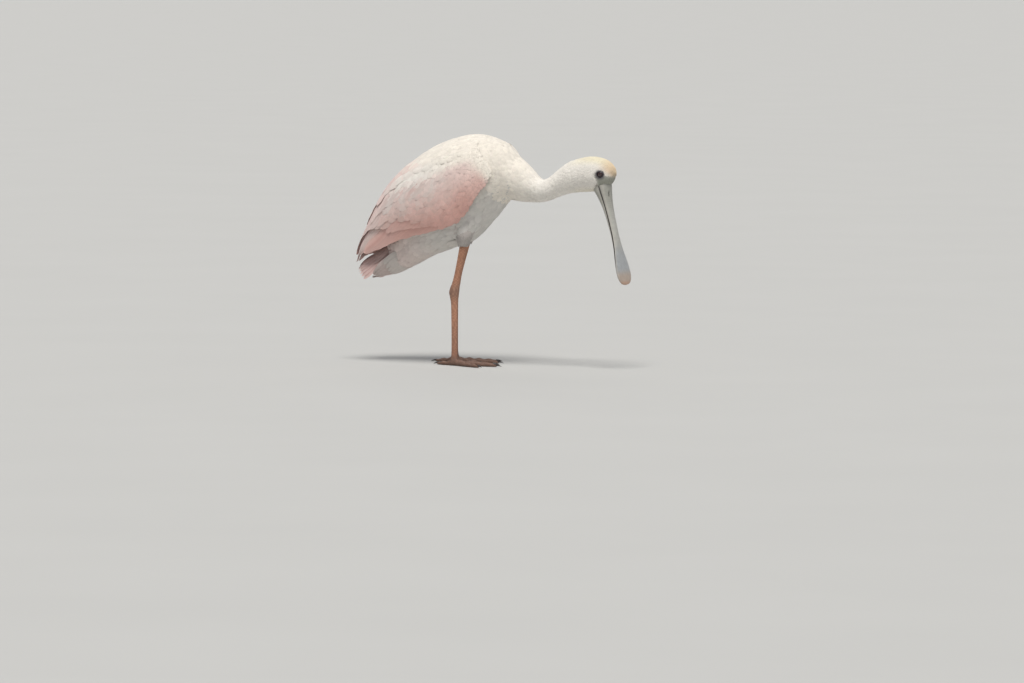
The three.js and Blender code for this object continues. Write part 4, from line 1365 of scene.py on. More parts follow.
@dataclass
class Skin:
    """One skin under the whole coat, bare only on the face."""

    shift: Array
    voxel: float = 1.8
    coat: float = 3.4
    neck_coat: float = 1.9
    head_coat: float = 0.7
    wing_hollow: float = 3.2
    collar_rounds: int = 240
    levels: int = 8
    # How much darker than the coat the skin is painted: painted shade where the skin shows between feathers
    shade: float = 0.93
    sampled: int = 11

    def build(self) -> Object:
        """Lofts each form of flesh, fuses them and opens the eyes.

        Returns:
            The skin.
        """
        forms = [self.trunk(), self.neck(), self.rump()]
        for side, _ in SIDES:
            forms += [self.arm(side), self.thigh(side)]
        skin = fused(joined("skin", forms), self.voxel, 4)
        self.blend_collar(skin)
        points = self.hollow(self.open_eyes(points_of(skin, self.shift)))
        move_points(skin, points, self.shift)
        unwrap(skin)
        smooth_by_angle(skin, 60)
        return skin

    def blend_collar(self, skin: Object) -> None:
        """Softens the crease where the neck leaves the shoulders, and less so below.

        Args:
            skin: The skin.
        """
        points = points_of(skin, self.shift)
        near = np.exp(-(((points[:, 0] - 108) / 34) ** 2) - ((points[:, 2] - 320) / 34) ** 2)
        weight = np.clip(near * 1.5, 0, 1) * (0.25 + 0.75 * smooth(278, 300, points[:, 2]))
        hips = np.exp(-(((points[:, 2] - 228) / 16) ** 2) - ((points[:, 0] - 36) / 26) ** 2)
        weight = np.maximum(weight, 0.8 * hips * (np.abs(points[:, 1]) > 12))
        group = skin.vertex_groups.new(name="collar")
        for level in range(1, self.levels + 1):
            chosen = np.nonzero(np.round(weight * self.levels) == level)[0].tolist()
            group.add(chosen, level / self.levels, "REPLACE")
        softened(skin, self.collar_rounds, group.name)

    def trunk(self) -> Object:
        """The trunk, inside its feathers."""
        def place(s: Array, t: Array) -> Array:
            """Points for shares round and along."""
            point, out = TrunkSurface().frame(-27 + 283 * t, 2 * math.pi * s)
            return point - out * self.coat
        return wrapped("trunk_form", 48, 60, place, self.shift, False)

    def neck(self) -> Object:
        """Neck and head, bare where the face is."""
        def place(s: Array, t: Array) -> Array:
            """Points for shares round and along."""
            u = 12 * t
            point, out = NeckSurface().frame(u, 2 * math.pi * s)
            depth = self.neck_coat + (self.head_coat - self.neck_coat) * smooth(6.5, 8.5, u)
            depth = depth + 1.5 * (1 - smooth(0, 2, u))
            return point - out * (depth * (1 - Face.bareness(point)))[..., None]
        return wrapped("neck_form", 56, 110, place, self.shift, False)

    def rump(self) -> Object:
        """The rump, under the tail's feathers."""
        roof, belly = TailSurface(False), TailSurface(True)

        def place(s: Array, t: Array) -> Array:
            """Points for shares round and along."""
            u = 232 + 54 * t
            share = 0.86 * np.where(s < 0.5, 4 * s - 1, 3 - 4 * s)
            high, out_high = roof.frame(u, share)
            low, out_low = belly.frame(u, share)
            return np.where((s < 0.5)[:, None], high - out_high * 4, low - out_low * 4)
        return wrapped("rump_form", 32, 16, place, self.shift, False)

    def arm(self, side: int) -> Object:
        """The arm of one wing."""
        wing = WingSurface(side)

        def place(s: Array, t: Array) -> Array:
            """Points for shares round and along."""
            u = 5 + 235 * t
            share = 0.05 + 0.93 * np.where(s < 0.5, 2 * s, 2 - 2 * s)
            point, out = wing.frame(u, share)
            _, _, skin, flesh = WING.at(u)
            depth = np.where(s < 0.5, 2.6 + skin * (1 - 0.75 * share**2), flesh + 2)
            return point - out * depth[:, None]
        return wrapped(f"arm_form_{side}", 40, 60, place, self.shift, False)

    def thigh(self, side: int) -> Object:
        """One thigh, which narrows on to the bare leg."""
        def place(s: Array, t: Array) -> Array:
            """Points for shares round and along."""
            point, out = ThighSurface(side).frame(4 * t, 2 * math.pi * s)
            return point - out * 1.8
        return wrapped(f"thigh_form_{side}", 28, 24, place, self.shift, False)

    def open_eyes(self, points: Array) -> Array:
        """Sinks the skin behind each eye and swells it round the rim.

        Args:
            points: The skin's points.

        Returns:
            The points with both sockets.
        """
        across = (points[:, 0] - EYE_PLACE[0]) / 5.0
        level = (points[:, 2] - EYE_PLACE[1]) / 4.3
        ring = np.sqrt(across**2 + level**2)
        deep = 5.5 * (1 - smooth(0.75, 1.05, ring)) - 0.7 * bell(ring, 1.45, 0.3)
        at_side = np.abs(points[:, 1]) > 9
        points[:, 1] -= np.sign(points[:, 1]) * deep * at_side
        return points

    def hollow(self, points: Array) -> Array:
        """Draws the flank in under the lower edge of each wing.

        Args:
            points: The skin's points.

        Returns:
            The points with both grooves.
        """
        away = points - TRUNK_FRONT
        place = away @ TRUNK_BACK
        wing = WingSurface(LEFT)
        inside = np.clip(place, 60, 300)
        edge = wing.point(inside, 0 * place)
        below = (edge - points) @ TRUNK_UP
        near = smooth(0.35, 0.8, np.abs(points[:, 1]) / np.maximum(edge[:, 1], 1))
        deep = self.wing_hollow * smooth(80, 130, place) * (1 - smooth(262, 290, place)) * near
        deep = deep * smooth(-12, 0, below) * (1 - smooth(2, 46, below))
        points[:, 1] -= np.sign(points[:, 1]) * deep
        return points

    def marked(self, skin: Object, coats: Iterable[Object]) -> None:
        """Gives the skin the coat's colours, darkened a little as painted shade where it shows between the
        feathers, and its own on the face.

        Args:
            skin: The skin.
            coats: The coat pieces.
        """
        samples, colours = [], []
        for coat in coats:
            rgba = np.zeros(len(coat.data.vertices) * 4, np.float32)
            coat.data.color_attributes["Marking"].data.foreach_get("color", rgba)
            samples.append(raw_points(coat)[:: self.sampled])
            colours.append(rgba.reshape(-1, 4)[:: self.sampled, :3])
        sample, colour = np.concatenate(samples), np.concatenate(colours)
        tree = kdtree.KDTree(len(sample))
        for number, point in enumerate(sample):
            tree.insert(point, number)
        tree.balance()
        points = points_of(skin, self.shift)
        places = (points + self.shift) * MM
        nearest = np.array([tree.find(place)[1] for place in places])
        # The coat's colour, darkened as painted shade for the skin seen in gaps between the feathers
        tone = colour[nearest] * self.shade
        bare = Face.bareness(points) * (points[:, 0] > 262) * (points[:, 2] < 340)
        paint(skin.data, mix(tone, self.face(points), bare))

    def face(self, points: Array) -> Array:
        """Colours of the bare face: darkest in the sunken socket round the eye as painted shade, then grey,
        and paler to the bill.
        """
        x, z = points[:, 0], points[:, 2]
        ring = np.hypot(x - EYE_PLACE[0], z - EYE_PLACE[1])
        mottle = 0.05 * np.sin(x * 1.9 + z) * np.sin(z * 2.3 - x * 0.8)
        gape = np.exp(-(((x - 266) / 3.2) ** 2) - ((z - 300) / 4) ** 2)
        # The darkest tone, within 4.6 mm of the eye's middle, lies in the socket behind the ball and is
        # painted shade
        tone = toned(
            (0.22, 0.19, 0.21), ((0.44, 0.43, 0.43), smooth(4.6, 6.8, ring)),
            ((0.60, 0.60, 0.555), smooth(6.0, 10.5, ring)), ((0.36, 0.28, 0.26), 0.7 * gape),
        )
        return linear(tone * (1 + mottle[:, None]))


@dataclass
class Bill:
    """The two halves of the bill, flat and spoon-shaped at the end."""

    # The share of a section's grid that is its outside, and the height of the rim over the mouth line
    OUTSIDE: ClassVar[float] = 0.62
    RIM: ClassVar[float] = 0.2

    shift: Array

    def point(self, place: Array, aside: Array, raised: Array) -> Array:
        """Points by place along the bill, distance aside and height over the mouth line."""
        pitch = BILL_PITCH + BILL_DROOP * place / BILL_LENGTH
        half = BILL_PITCH + BILL_DROOP * place / BILL_LENGTH / 2
        x = BILL_BASE[0] + place * np.cos(half) - raised * np.sin(pitch)
        z = BILL_BASE[1] + place * np.sin(half) + raised * np.cos(pitch)
        return np.stack([x, aside + 0 * x, z], -1)

    def half(self, name: str, way: int, width: float, size: int) -> Object:
        """One half of the bill.

        Args:
            name: The object's name.
            way: 1 for the upper half and -1 for the lower one.
            width: Its width as a share of the upper half's.
            size: Which size of the table is its height.

        Returns:
            The piece with its colours.
        """
        def place(s: Array, t: Array) -> Array:
            """Points for shares round and along."""
            blunt = 153 + 10.0 * (1 - (1 - (t - 0.9) / 0.1) ** 2)
            along = np.where(t < 0.9, -3.5 + 156.5 * t / 0.9, blunt)
            sizes = BILL.at(along)
            half = sizes[0] * width
            tip = np.clip((BILL_LENGTH - along) / 12, 0, 1)
            half = half * np.where(along > 151, np.sqrt(np.clip(1 - (1 - tip) ** 2, 0.0, 1)) * 0.12 + 0.88, 1)
            raised = sizes[size]
            arc = np.clip(s / self.OUTSIDE, 0, 1) * math.pi
            flat = 1 - 2 * np.clip((s - self.OUTSIDE) / (1 - self.OUTSIDE), 0, 1)
            side = np.where(s <= self.OUTSIDE, np.cos(arc), -flat)
            bulge = np.where(s <= self.OUTSIDE, np.sin(arc), 0.0)
            lift = self.RIM + (raised - self.RIM) * np.clip(bulge, 0, 1) ** 0.8
            lift = lift + self.relief(side, along, bulge, half, way)
            dish = 0.7 * smooth(104, 130, along) * (1 - side**2) * (1 - smooth(154, 162, along))
            inside = self.RIM + np.minimum(dish, np.maximum(raised - 1.2, 0))
            lift = np.where(s > self.OUTSIDE, inside, lift)
            lip = 1 - 0.07 * bell(bulge, 0, 0.1)
            return self.point(along, half * side * lip, way * lift)

        piece = wrapped(name, 88, 200, place, self.shift)
        return coloured(piece, self.colours(points_of(piece, self.shift), way), 55)

    @staticmethod
    def relief(side: Array, along: Array, bulge: Array, half: Array, way: int) -> Array:
        """The groove, the wrinkles at the base and the nostrils.

        Args:
            side: How far aside, from -1 to 1.
            along: The place along the bill.
            bulge: The share of the crown's height.
            half: The half width there.
            way: 1 for the upper half and -1 for the lower one.

        Returns:
            What they add to the height, in millimetres.
        """
        groove = bell(np.abs(side), 0.74, 0.09) * 0.28 * smooth(14, 34, along)
        groove = groove * (1 - 0.6 * smooth(150, 160, along)) * (bulge > 0)
        wrinkle = 0.22 * np.sin(along * 2 * math.pi / 3.4 + 1.2 * side**2) * smooth(3, 12, along)
        wrinkle = wrinkle * (1 - smooth(48, 92, along)) * np.clip(bulge, 0, 1) * (way > 0)
        nostril = 2.3 * Bill.slit(side * half, along) * (way > 0) * (bulge > 0)
        return wrinkle - groove - nostril

    @staticmethod
    def slit(aside: Array, along: Array, width: float = 1.1) -> Array:
        """Where the nostrils lie, from 0 to 1."""
        return np.exp(-(((np.abs(aside) - 5.2) / width) ** 2) - ((along - 13.5) / 4.2) ** 4)

    def colours(self, points: Array, way: int) -> Array:
        """Grey bill, bluer on the spoon and peach at the tip, with a dark mouth line and the nostril slits
        painted dark as shade inside them.

        Args:
            points: The piece's points.
            way: 1 for the upper half and -1 for the lower one.

        Returns:
            One linear colour a point.
        """
        x, z = points[:, 0] - BILL_BASE[0], points[:, 2] - BILL_BASE[1]
        along = x * math.cos(BILL_PITCH) + z * math.sin(BILL_PITCH)
        pitch = BILL_PITCH + BILL_DROOP * along / BILL_LENGTH / 2
        rise = (x - along * np.cos(pitch)) * -np.sin(BILL_PITCH)
        rise = rise + (z - along * np.sin(pitch)) * np.cos(BILL_PITCH)
        side = np.abs(points[:, 1]) / np.maximum(BILL.at(along)[0], 1)
        mouth = (1 - smooth(0.8, 1.4, np.abs(rise))) * smooth(0.72, 0.9, side) * (1 - smooth(112, 140, along))
        tone = toned(
            (0.64, 0.635, 0.60), ((0.71, 0.705, 0.675), smooth(15, 60, along)),
            ((0.665, 0.675, 0.68), smooth(88, 118, along)),
            ((0.72, 0.65, 0.59), 0.9 * smooth(136, 150, along)),
            ((0.74, 0.58, 0.48), 0.7 * smooth(154, 161, along)),
            ((0.74, 0.72, 0.68), 0.5 * smooth(0.8, 0.95, side) * (1 - smooth(150, 158, along))),
            ((0.13, 0.11, 0.11), 0.92 * mouth),
        )
        # The nostril slits of the upper half are painted dark: painted shade inside the openings
        if way > 0:
            tone = toned(tone, ((0.12, 0.10, 0.09), 0.85 * self.slit(points[:, 1], along, 0.9)))
        return linear(tone)

    def build(self) -> tuple[Object, Object]:
        """Both halves, the upper one first."""
        return self.half("bill_top", 1, 1.0, 1), self.half("bill_bottom", -1, 0.93, 2)


@dataclass
class Eye:
    """One eye: the ball and the ring of its lids."""

    shift: Array
    side: int
    word: str
    ball_side: float = 15.5
    open_long: float = 4.7
    open_high: float = 3.9

    def centre(self) -> Array:
        """The middle of the ball."""
        return np.array([EYE_PLACE[0], self.side * self.ball_side, EYE_PLACE[1]])

    def ball(self) -> Object:
        """A ball with a maroon iris and a black pupil.

        Returns:
            The ball with its colours.
        """
        bpy.ops.object.select_all(action="DESELECT")
        bpy.ops.mesh.primitive_uv_sphere_add(segments=64, ring_count=40, radius=1, calc_uvs=True)
        piece = named(bpy.context.object, f"eyeball_{self.word}")
        turned = raw_points(piece)[:, [0, 2, 1]] * np.array([1, self.side, 1])
        look = unit(np.array([0.22, self.side, -0.04]))
        reach = np.sum(turned * look, axis=1)
        bulge = 1 + 0.03 * smooth(0.72, 1.0, reach)
        move_points(piece, turned * (EYE_RADIUS * bulge)[:, None] + self.centre(), self.shift)
        on_all_faces(piece, bpy.ops.mesh.normals_make_consistent, inside=False)
        off = np.degrees(np.arccos(np.clip(reach, -1, 1)))
        tone = toned(
            (0.02, 0.015, 0.015), ((0.26, 0.08, 0.07), smooth(17, 21, off)),
            ((0.12, 0.045, 0.04), smooth(30, 44, off)), ((0.06, 0.04, 0.04), smooth(46, 50, off)),
        )
        return coloured(piece, linear(tone), 60)

    def lids(self) -> Object:
        """A ring of wrinkled skin that lies on the ball.

        Returns:
            The ring with its colours.
        """
        bpy.ops.object.select_all(action="DESELECT")
        thick = 0.3
        bpy.ops.mesh.primitive_torus_add(
            major_segments=96, minor_segments=20, major_radius=1, minor_radius=thick,
        )
        piece = named(bpy.context.object, f"eyelids_{self.word}")
        flat = raw_points(piece)
        around = np.arctan2(flat[:, 1], flat[:, 0])
        wide = (np.hypot(flat[:, 0], flat[:, 1]) - 1) / thick
        high = flat[:, 2] / thick
        corner = 0.35 * np.exp(-((np.cos(around) - 1) / 0.03) ** 2)
        long = (self.open_long + 0.75 + corner) * np.cos(around)
        level = (self.open_high + 0.75 - 0.35 * (np.sin(around) > 0) * np.sin(around)) * np.sin(around)
        reach = np.hypot(long, level)
        crease = 1 + 0.12 * np.sin(around * 22) * np.clip(high, 0, 1)
        away = reach + wide * 1.25
        depth = np.sqrt(np.clip((EYE_RADIUS + 0.25) ** 2 - np.minimum(away, 5.2) ** 2, 0.5, None))
        depth = depth + high * 0.55 * crease
        point = np.stack([long / reach * away, self.side * depth, level / reach * away], -1) + self.centre()
        move_points(piece, point, self.shift)
        on_all_faces(piece, bpy.ops.mesh.normals_make_consistent, inside=False)
        tone = toned((0.13, 0.11, 0.12), ((0.27, 0.24, 0.25), smooth(-0.6, 0.9, wide)))
        return coloured(piece, linear(tone), 60)


@dataclass
class Leg:
    """One bare leg, with its toes and claws."""

    shift: Array
    side: int
    word: str
    aside: float = 32.0
    sole: float = 17.5
    set_back: float = 32.0
    voxel: float = 0.85

    def back(self) -> float:
        """How far this leg is set back, in millimetres."""
        return -self.set_back if self.side == LEFT else 0.0

    def shank(self) -> Object:
        """The bone from the thigh's feathers down to the pad of the foot.

        Returns:
            The bone's form.
        """
        back = self.back()
        ankle, knee, sole = 17 + back, 34 + back * 0.86, self.sole + back

        def x_at(z: float) -> float:
            """Where the upper bone lies at a height."""
            return ankle + (knee - ankle) * (z - 121) / 75

        table = Profile([
            (0, x_at(206), 206, 6.0, 5.4), (1, x_at(190), 190, 5.9, 5.3), (2, x_at(165), 165, 5.3, 4.8),
            (3, x_at(145), 145, 5.4, 4.9), (4, x_at(131), 131, 6.7, 6.1), (5, ankle + 0.6, 125, 7.6, 6.9),
            (6, ankle - 0.4, 119, 7.9, 7.0), (7, ankle, 110, 6.5, 5.7), (8, ankle + 0.3, 98, 5.3, 4.6),
            (9, sole, 60, 4.9, 4.1), (10, sole, 24, 4.9, 4.2), (11, sole, 13, 5.6, 5.2),
            (12, sole, 8, 7.4, 6.9), (13, sole, 3.5, 8.6, 7.7), (14, sole, 0.6, 7.6, 6.7),
        ])

        def place(s: Array, t: Array) -> Array:
            """Points for shares round and along."""
            x, z, long, wide = table.at(14 * t)
            angle = 2 * math.pi * s
            front = 1 + 0.05 * np.cos(2 * angle)
            aside = self.side * self.aside + wide * np.sin(angle)
            return np.stack([x + long * front * np.cos(angle), aside, z], -1)
        return wrapped(f"shank_{self.word}", 36, 150, place, self.shift, False)

    def toes(self) -> tuple[tuple[float, float, int], ...]:
        """Each toe's turn in degrees, its length and how many joints it has."""
        return ((22, 66, 3), (-2, 80, 4), (-28, 70, 4), (172, 34, 2))

    def laid(self, turn: float, along: Array, across: Array, height: Array) -> Array:
        """Points of a toe or claw on the floor.

        Args:
            turn: Which way it points, in degrees from straight ahead.
            along: How far along it they lie.
            across: How far aside of it.
            height: How far over the floor.

        Returns:
            The points in millimetres.
        """
        way = -self.side * math.radians(turn)
        start = np.array([self.sole + self.back(), self.side * self.aside, 0.0])
        return start + np.stack([
            along * math.cos(way) - across * math.sin(way),
            along * math.sin(way) + across * math.cos(way), height], -1)

    def toe(self, turn: float, long: float, joints: int) -> Object:
        """One toe, with a pad under each joint.

        Args:
            turn: Which way it points, in degrees from straight ahead.
            long: Its length without the claw.
            joints: How many joints it has.

        Returns:
            The toe's form.
        """
        def place(s: Array, t: Array) -> Array:
            """Points for shares round and along."""
            angle = 2 * math.pi * s
            swell = 1 + 0.13 * -np.cos(2 * math.pi * t * (joints + 0.35))
            end = np.sqrt(np.clip(1 - np.clip((t - 0.95) / 0.05, 0, 1) ** 2, 0.05, 1))
            high = (8.4 + (4.2 - 8.4) * t) * swell * end
            half = (4.4 + (2.3 - 4.4) * t) * swell * end
            bow = 1.2 * np.sin(t * math.pi) * (1 if turn > 0 else -1) * -self.side
            height = np.maximum(high * (0.45 + 0.55 * np.cos(angle)), 0.25)
            across = half * np.sin(angle) + bow
            return self.laid(turn, long * t, across, height)
        return wrapped(f"toe_{self.word}_{int(turn + 400)}", 24, 80, place, self.shift, False)

    def skin(self) -> Object:
        """The leg as one skin, fused from its shank and its toes.

        Returns:
            The leg with its colours.
        """
        forms = [self.shank()] + [self.toe(*toe) for toe in self.toes()]
        leg = fused(joined(f"leg_skin_{self.word}", forms), self.voxel, 2)
        points = points_of(leg, self.shift)
        points[:, 2] = np.maximum(points[:, 2], 0.0)
        points[:, 2] = np.where(points[:, 2] < 0.4, 0.0, points[:, 2])
        move_points(leg, points, self.shift)
        unwrap(leg)
        return coloured(leg, self.colours(points), 70)

    def colours(self, points: Array) -> Array:
        """Salmon brown, greyer at the ankle and darker on the toes.

        Args:
            points: The leg's points.

        Returns:
            One linear colour a point.
        """
        x, y, z = points.T
        blotch = np.sin(z * 0.9 + 3 * np.sin(z * 0.23)) * np.sin(y * 0.9 + x * 0.7 + z * 0.2)
        tone = toned(
            (0.63, 0.45, 0.36), ((0.70, 0.50, 0.395), smooth(30, 90, z)),
            ((0.54, 0.42, 0.36), 0.7 * bell(z, 121, 13)), ((0.40, 0.31, 0.265), 0.8 * (1 - smooth(8, 22, z))),
            ((0.74, 0.62, 0.54), 0.35 * np.clip(blotch - 0.25, 0, 1) * smooth(20, 40, z)),
        )
        return linear(tone * (1 + 0.07 * blotch[:, None]))

    def claws(self) -> Object:
        """A curved dark claw on each toe.

        Returns:
            The claws of this foot as one piece.
        """
        made = []
        for turn, long, _ in self.toes():

            def place(s: Array, t: Array, turn: float = turn, long: float = long) -> Array:
                """Points for shares round and along."""
                angle = 2 * math.pi * s
                size = (1 - t) ** 0.75 * 1.0 + 0.04
                height = 2.6 + 0.5 * np.sin(t * math.pi) - 1.9 * t**1.6 + 1.75 * size * np.cos(angle)
                across = 1.35 * size * np.sin(angle)
                return self.laid(turn, long - 2.2 + 11.0 * t, across, np.maximum(height, 0.05))
            made.append(wrapped(f"claw_{self.word}_{int(turn + 400)}", 20, 24, place, self.shift))
        claws = joined(f"claws_{self.word}", made)
        unwrap(claws)
        horn = np.repeat(linear([0.17, 0.14, 0.13])[None], len(claws.data.vertices), 0)
        return coloured(claws, horn, 60)


def node(tree: bpy.types.NodeTree, kind: str, **inputs: object) -> bpy.types.Node:
    """Adds a shader node.

    Args:
        tree: The node tree.
        kind: The node's type without its first word.
        inputs: A value or a socket for an input, by its name with _ for a blank, or by i and its number.

    Returns:
        The new node.
    """
    made = tree.nodes.new("ShaderNode" + kind)
    for word, value in inputs.items():
        socket = made.inputs[int(word[1:]) if word[1:].isdigit() else word.replace("_", " ")]
        if isinstance(value, bpy.types.NodeSocket):
            tree.links.new(value, socket)
        else:
            socket.default_value = value
    return made


def sum_up(tree: bpy.types.NodeTree, operation: str, **inputs: object) -> bpy.types.NodeSocket:
    """Adds a maths node and gives its result."""
    made = node(tree, "Math", **inputs)
    made.operation = operation
    return made.outputs["Value"]


@dataclass(frozen=True)
class Finish:
    """A finish: the piece's marking, varied, with a fine relief."""

    SHEEN_ROUGH: ClassVar[float] = 0.6
    COAT_ROUGH: ClassVar[float] = 0.06
    RELIEF_HEIGHT: ClassVar[float] = 0.0004
    BARB_SLANT: ClassVar[float] = -1.3

    name: str
    rough: float
    vary: float
    grain: float
    relief: float
    depth: float
    kind: Relief = Relief.GRAIN
    sheen: float = 0.0
    coat: float = 0.0
    specular: float = 0.5

    def material(self) -> bpy.types.Material:
        """Builds its nodes.

        Returns:
            The material.
        """
        made = bpy.data.materials.new(self.name)
        made.use_nodes = True
        tree = made.node_tree
        shader = next(found for found in tree.nodes if found.type == "BSDF_PRINCIPLED")
        for word, value in (
            ("Roughness", self.rough), ("Specular IOR Level", self.specular), ("Sheen Weight", self.sheen),
            ("Sheen Roughness", self.SHEEN_ROUGH), ("Coat Weight", self.coat),
            ("Coat Roughness", self.COAT_ROUGH),
        ):
            shader.inputs[word].default_value = value
        marking = node(tree, "Attribute")
        marking.attribute_name = "Marking"
        place = node(tree, "TexCoord").outputs["Object"]
        noise = node(tree, "TexNoise", Scale=self.grain, Detail=3, Vector=place)
        span = node(
            tree, "MapRange", Value=noise.outputs["Fac"], From_Min=0.3, From_Max=0.7,
            To_Min=1 - self.vary, To_Max=1 + self.vary,
        )
        tint = node(tree, "VectorMath", i0=marking.outputs["Color"])
        tint.operation = "SCALE"
        tree.links.new(span.outputs["Result"], tint.inputs["Scale"])
        tree.links.new(tint.outputs["Vector"], shader.inputs["Base Color"])
        height = {Relief.BARBS: self.barbs, Relief.SCALES: self.scales, Relief.GRAIN: self.grains}[self.kind]
        bump = node(
            tree, "Bump", Strength=self.depth, Distance=self.RELIEF_HEIGHT, Height=height(tree, place),
        )
        tree.links.new(bump.outputs["Normal"], shader.inputs["Normal"])
        return made

    def grains(self, tree: bpy.types.NodeTree, place: bpy.types.NodeSocket) -> bpy.types.NodeSocket:
        """A fine even relief."""
        return node(tree, "TexNoise", Scale=self.relief, Detail=4, Vector=place).outputs["Fac"]

    def scales(self, tree: bpy.types.NodeTree, place: bpy.types.NodeSocket) -> bpy.types.NodeSocket:
        """Raised cells, as scales have."""
        cells = node(tree, "TexVoronoi", Scale=self.relief, Randomness=0.7, Vector=place)
        cells.feature = "DISTANCE_TO_EDGE"
        return node(tree, "MapRange", Value=cells.outputs["Distance"], From_Max=0.16).outputs["Result"]

    def barbs(self, tree: bpy.types.NodeTree, place: bpy.types.NodeSocket) -> bpy.types.NodeSocket:
        """Fine oblique lines on both sides of each shaft."""
        chart = node(tree, "UVMap")
        chart.uv_map = "Vane"
        parts = node(tree, "SeparateXYZ", Vector=chart.outputs["UV"]).outputs
        side = sum_up(tree, "ABSOLUTE", i0=parts["X"])
        slant = sum_up(tree, "MULTIPLY_ADD", i0=side, i1=self.BARB_SLANT, i2=parts["Y"])
        return sum_up(tree, "SINE", i0=sum_up(tree, "MULTIPLY", i0=slant, i1=self.relief))


PLUMAGE_FINISH = Finish("plumage", 0.78, 0.035, 90, 900, 0.25, Relief.BARBS, sheen=0.25, specular=0.25)
FLIGHT_FINISH = Finish("flight_plumage", 0.66, 0.03, 60, 900, 0.3, Relief.BARBS, sheen=0.15, specular=0.35)
SKIN_FINISH = Finish("bare_skin", 0.62, 0.09, 420, 1500, 0.55, specular=0.4)
LID_FINISH = Finish("eyelid_skin", 0.5, 0.08, 700, 2400, 0.4)
BILL_FINISH = Finish("bill_horn", 0.46, 0.075, 160, 1300, 0.3, coat=0.1)
LEG_FINISH = Finish("leg_scales", 0.58, 0.1, 240, 430, 0.7, Relief.SCALES)
CLAW_FINISH = Finish("claw_horn", 0.32, 0.1, 700, 2200, 0.15, coat=0.2)
EYE_FINISH = Finish("eye_gloss", 0.12, 0.05, 900, 600, 0.0, coat=1.0)


@dataclass
class Studio:
    """Floor, sky light, lamps and the camera at the photo's angle."""

    shift: Array
    azimuth: float = 27.0
    elevation: float = 4.0
    lens: float = 200.0
    distance: float = 9.39
    right: float = 95.7
    up: float = 36.3

    def axes(self) -> tuple[Array, Array, Array]:
        """The camera's right, up and backward directions."""
        az, el = math.radians(self.azimuth), math.radians(self.elevation)
        right = np.array([math.cos(az), math.sin(az), 0])
        back = np.array([math.sin(az) * math.cos(el), -math.cos(az) * math.cos(el), math.sin(el)])
        return right, np.cross(back, right), back

    def camera(self) -> None:
        """A long lens, level with the photo's own."""
        right, up, back = self.axes()
        target = (right * self.right + up * self.up + self.shift) * MM
        data = bpy.data.cameras.new("camera")
        data.lens = self.lens
        data.sensor_width = 36
        data.clip_end = 1000
        camera = bpy.data.objects.new("camera", data)
        bpy.context.scene.collection.objects.link(camera)
        camera.location = Vector(target + back * self.distance)
        camera.rotation_euler = Vector(back).to_track_quat("Z", "Y").to_euler()
        bpy.context.scene.camera = camera

    @staticmethod
    def lamp(
        name: str, way: Sequence[float], softness: float, strength: float, colour: Sequence[float],
    ) -> None:
        """A broad soft light from far off.

        Args:
            name: The light's name.
            way: The direction that it comes from.
            softness: How wide it looks, in degrees.
            strength: Its strength.
            colour: Its colour.
        """
        data = bpy.data.lights.new(name, "SUN")
        data.angle = math.radians(softness)
        data.energy = strength
        data.color = colour
        lamp = bpy.data.objects.new(name, data)
        bpy.context.scene.collection.objects.link(lamp)
        lamp.rotation_euler = Vector(way).to_track_quat("Z", "Y").to_euler()

    def build(self) -> None:
        """Sets up floor, light and camera."""
        bpy.ops.object.select_all(action="DESELECT")
        bpy.ops.mesh.primitive_circle_add(vertices=96, radius=400, fill_type="NGON", location=(0, 0, -0.0005))
        floor = bpy.context.object
        floor.name = "floor"
        bpy.ops.object.transform_apply(location=True)
        paint(floor.data, np.repeat(linear([0.74, 0.74, 0.73])[None], len(floor.data.vertices), 0))
        floor.data.materials.append(Finish("pale_floor", 0.85, 0.01, 3, 60, 0.05).material())
        world = bpy.data.worlds.new("soft_sky")
        world.use_nodes = True
        sky = world.node_tree.nodes["Background"]
        sky.inputs["Color"].default_value = (0.93, 0.95, 1.0, 1)
        sky.inputs["Strength"].default_value = 0.34
        bpy.context.scene.world = world
        bpy.context.scene.view_settings.view_transform = "Standard"
        self.lamp("key", (0.3, -0.6, 1.6), 28, 2.7, (1.0, 0.975, 0.94))
        self.lamp("fill", (1.4, -1.4, 0.7), 60, 0.22, (0.94, 0.97, 1.0))
        self.lamp("rim", (-1.0, 1.2, 1.1), 40, 0.35, (1.0, 0.98, 0.95))
        self.camera()


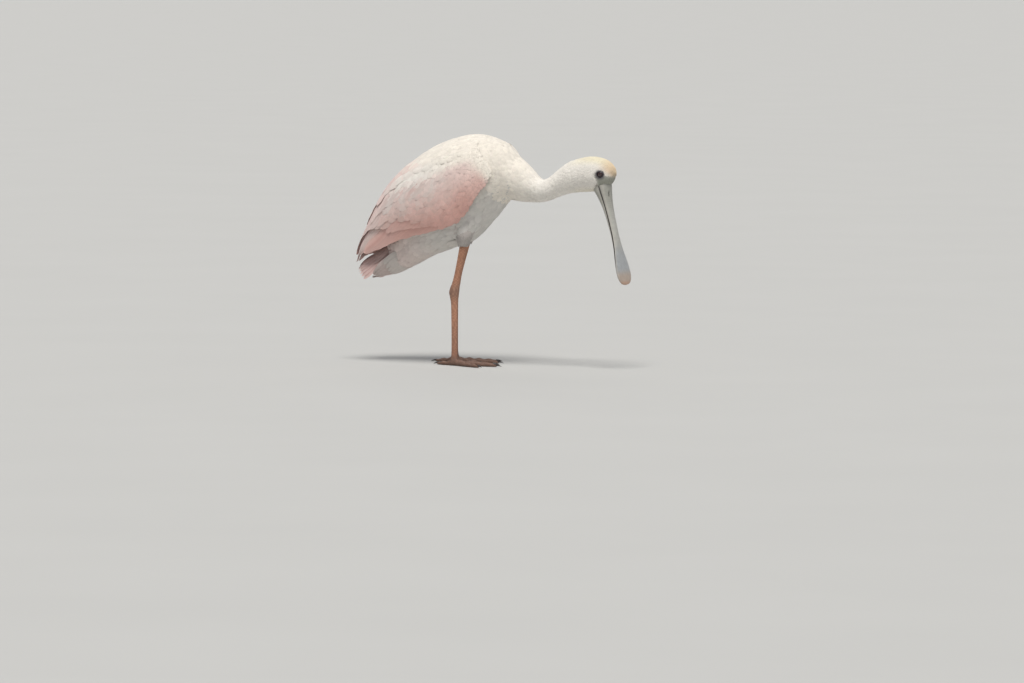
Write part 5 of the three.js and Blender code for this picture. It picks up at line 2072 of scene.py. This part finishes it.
def own(piece: Object, finish: bpy.types.Material, slot: str, nodes: Sequence[str]) -> None:
    """Gives a piece its finish and its body, hides the solids that it replaces and logs its slot.

    Args:
        piece: The object.
        finish: Its material.
        slot: The slot of its finish.
        nodes: The solids that it replaces, if any.
    """
    piece.data.materials.clear()
    piece.data.materials.append(finish)
    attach(piece, "root")
    if nodes:
        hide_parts(*nodes)
    LOG.info("%s: %d points, slot %s", piece.name, len(piece.data.vertices), slot)


def main() -> None:
    """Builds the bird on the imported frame."""
    logging.basicConfig(level=logging.INFO, format="%(name)s: %(message)s")
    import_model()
    low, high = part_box("eye_right")
    eye_x, eye_z = (low.x + high.x) / 2 / MM, (low.z + high.z) / 2 / MM
    shift = np.array([eye_x - EYE_PLACE[0], 0.0, eye_z - EYE_PLACE[1]])
    Studio(shift).build()
    plumage, flight = PLUMAGE_FINISH.material(), FLIGHT_FINISH.material()
    slots = {
        "body": "body_plumage", "mantle": "body_plumage", "neck": "neck_plumage", "head": "head_plumage",
        "thigh": "body_plumage", "tail": "tail_plumage", "flight": "wing_plumage", "wing": "wing_plumage",
    }
    maker = Skin(shift)
    skin = maker.build()
    coats = Plumage(shift, skin).pieces()
    maker.marked(skin, coats)
    nodes = ["torso", "neck_lower", "neck_upper", "head", "thigh_right", "thigh_left"]
    own(skin, SKIN_FINISH.material(), "face_skin", nodes)
    for coat in coats:
        kind = coat.name.split("_")[0]
        stands_for: list[str] = []
        if kind in ("flight", "wing"):
            stands_for = ["wing_" + coat.name.split("_")[-1]]
        elif kind == "tail":
            stands_for = ["tail"]
        own(coat, flight if kind in ("flight", "tail") else plumage, slots[kind], stands_for)
    top, bottom = Bill(shift).build()
    horn = BILL_FINISH.material()
    own(top, horn, "bill", ["bill_upper"])
    own(bottom, horn, "bill", ["bill_lower"])
    gloss, lid = EYE_FINISH.material(), LID_FINISH.material()
    scales, claw = LEG_FINISH.material(), CLAW_FINISH.material()
    for side, word in SIDES:
        eye = Eye(shift, side, word)
        own(eye.ball(), gloss, "eye", [f"eye_{word}"])
        own(eye.lids(), lid, "face_skin", [])
        leg = Leg(shift, side, word)
        own(leg.skin(), scales, "leg_skin", [f"tibia_{word}", f"tarsus_{word}", f"foot_{word}"])
        own(leg.claws(), claw, "claw", [])


if __name__ == "__main__":
    main()
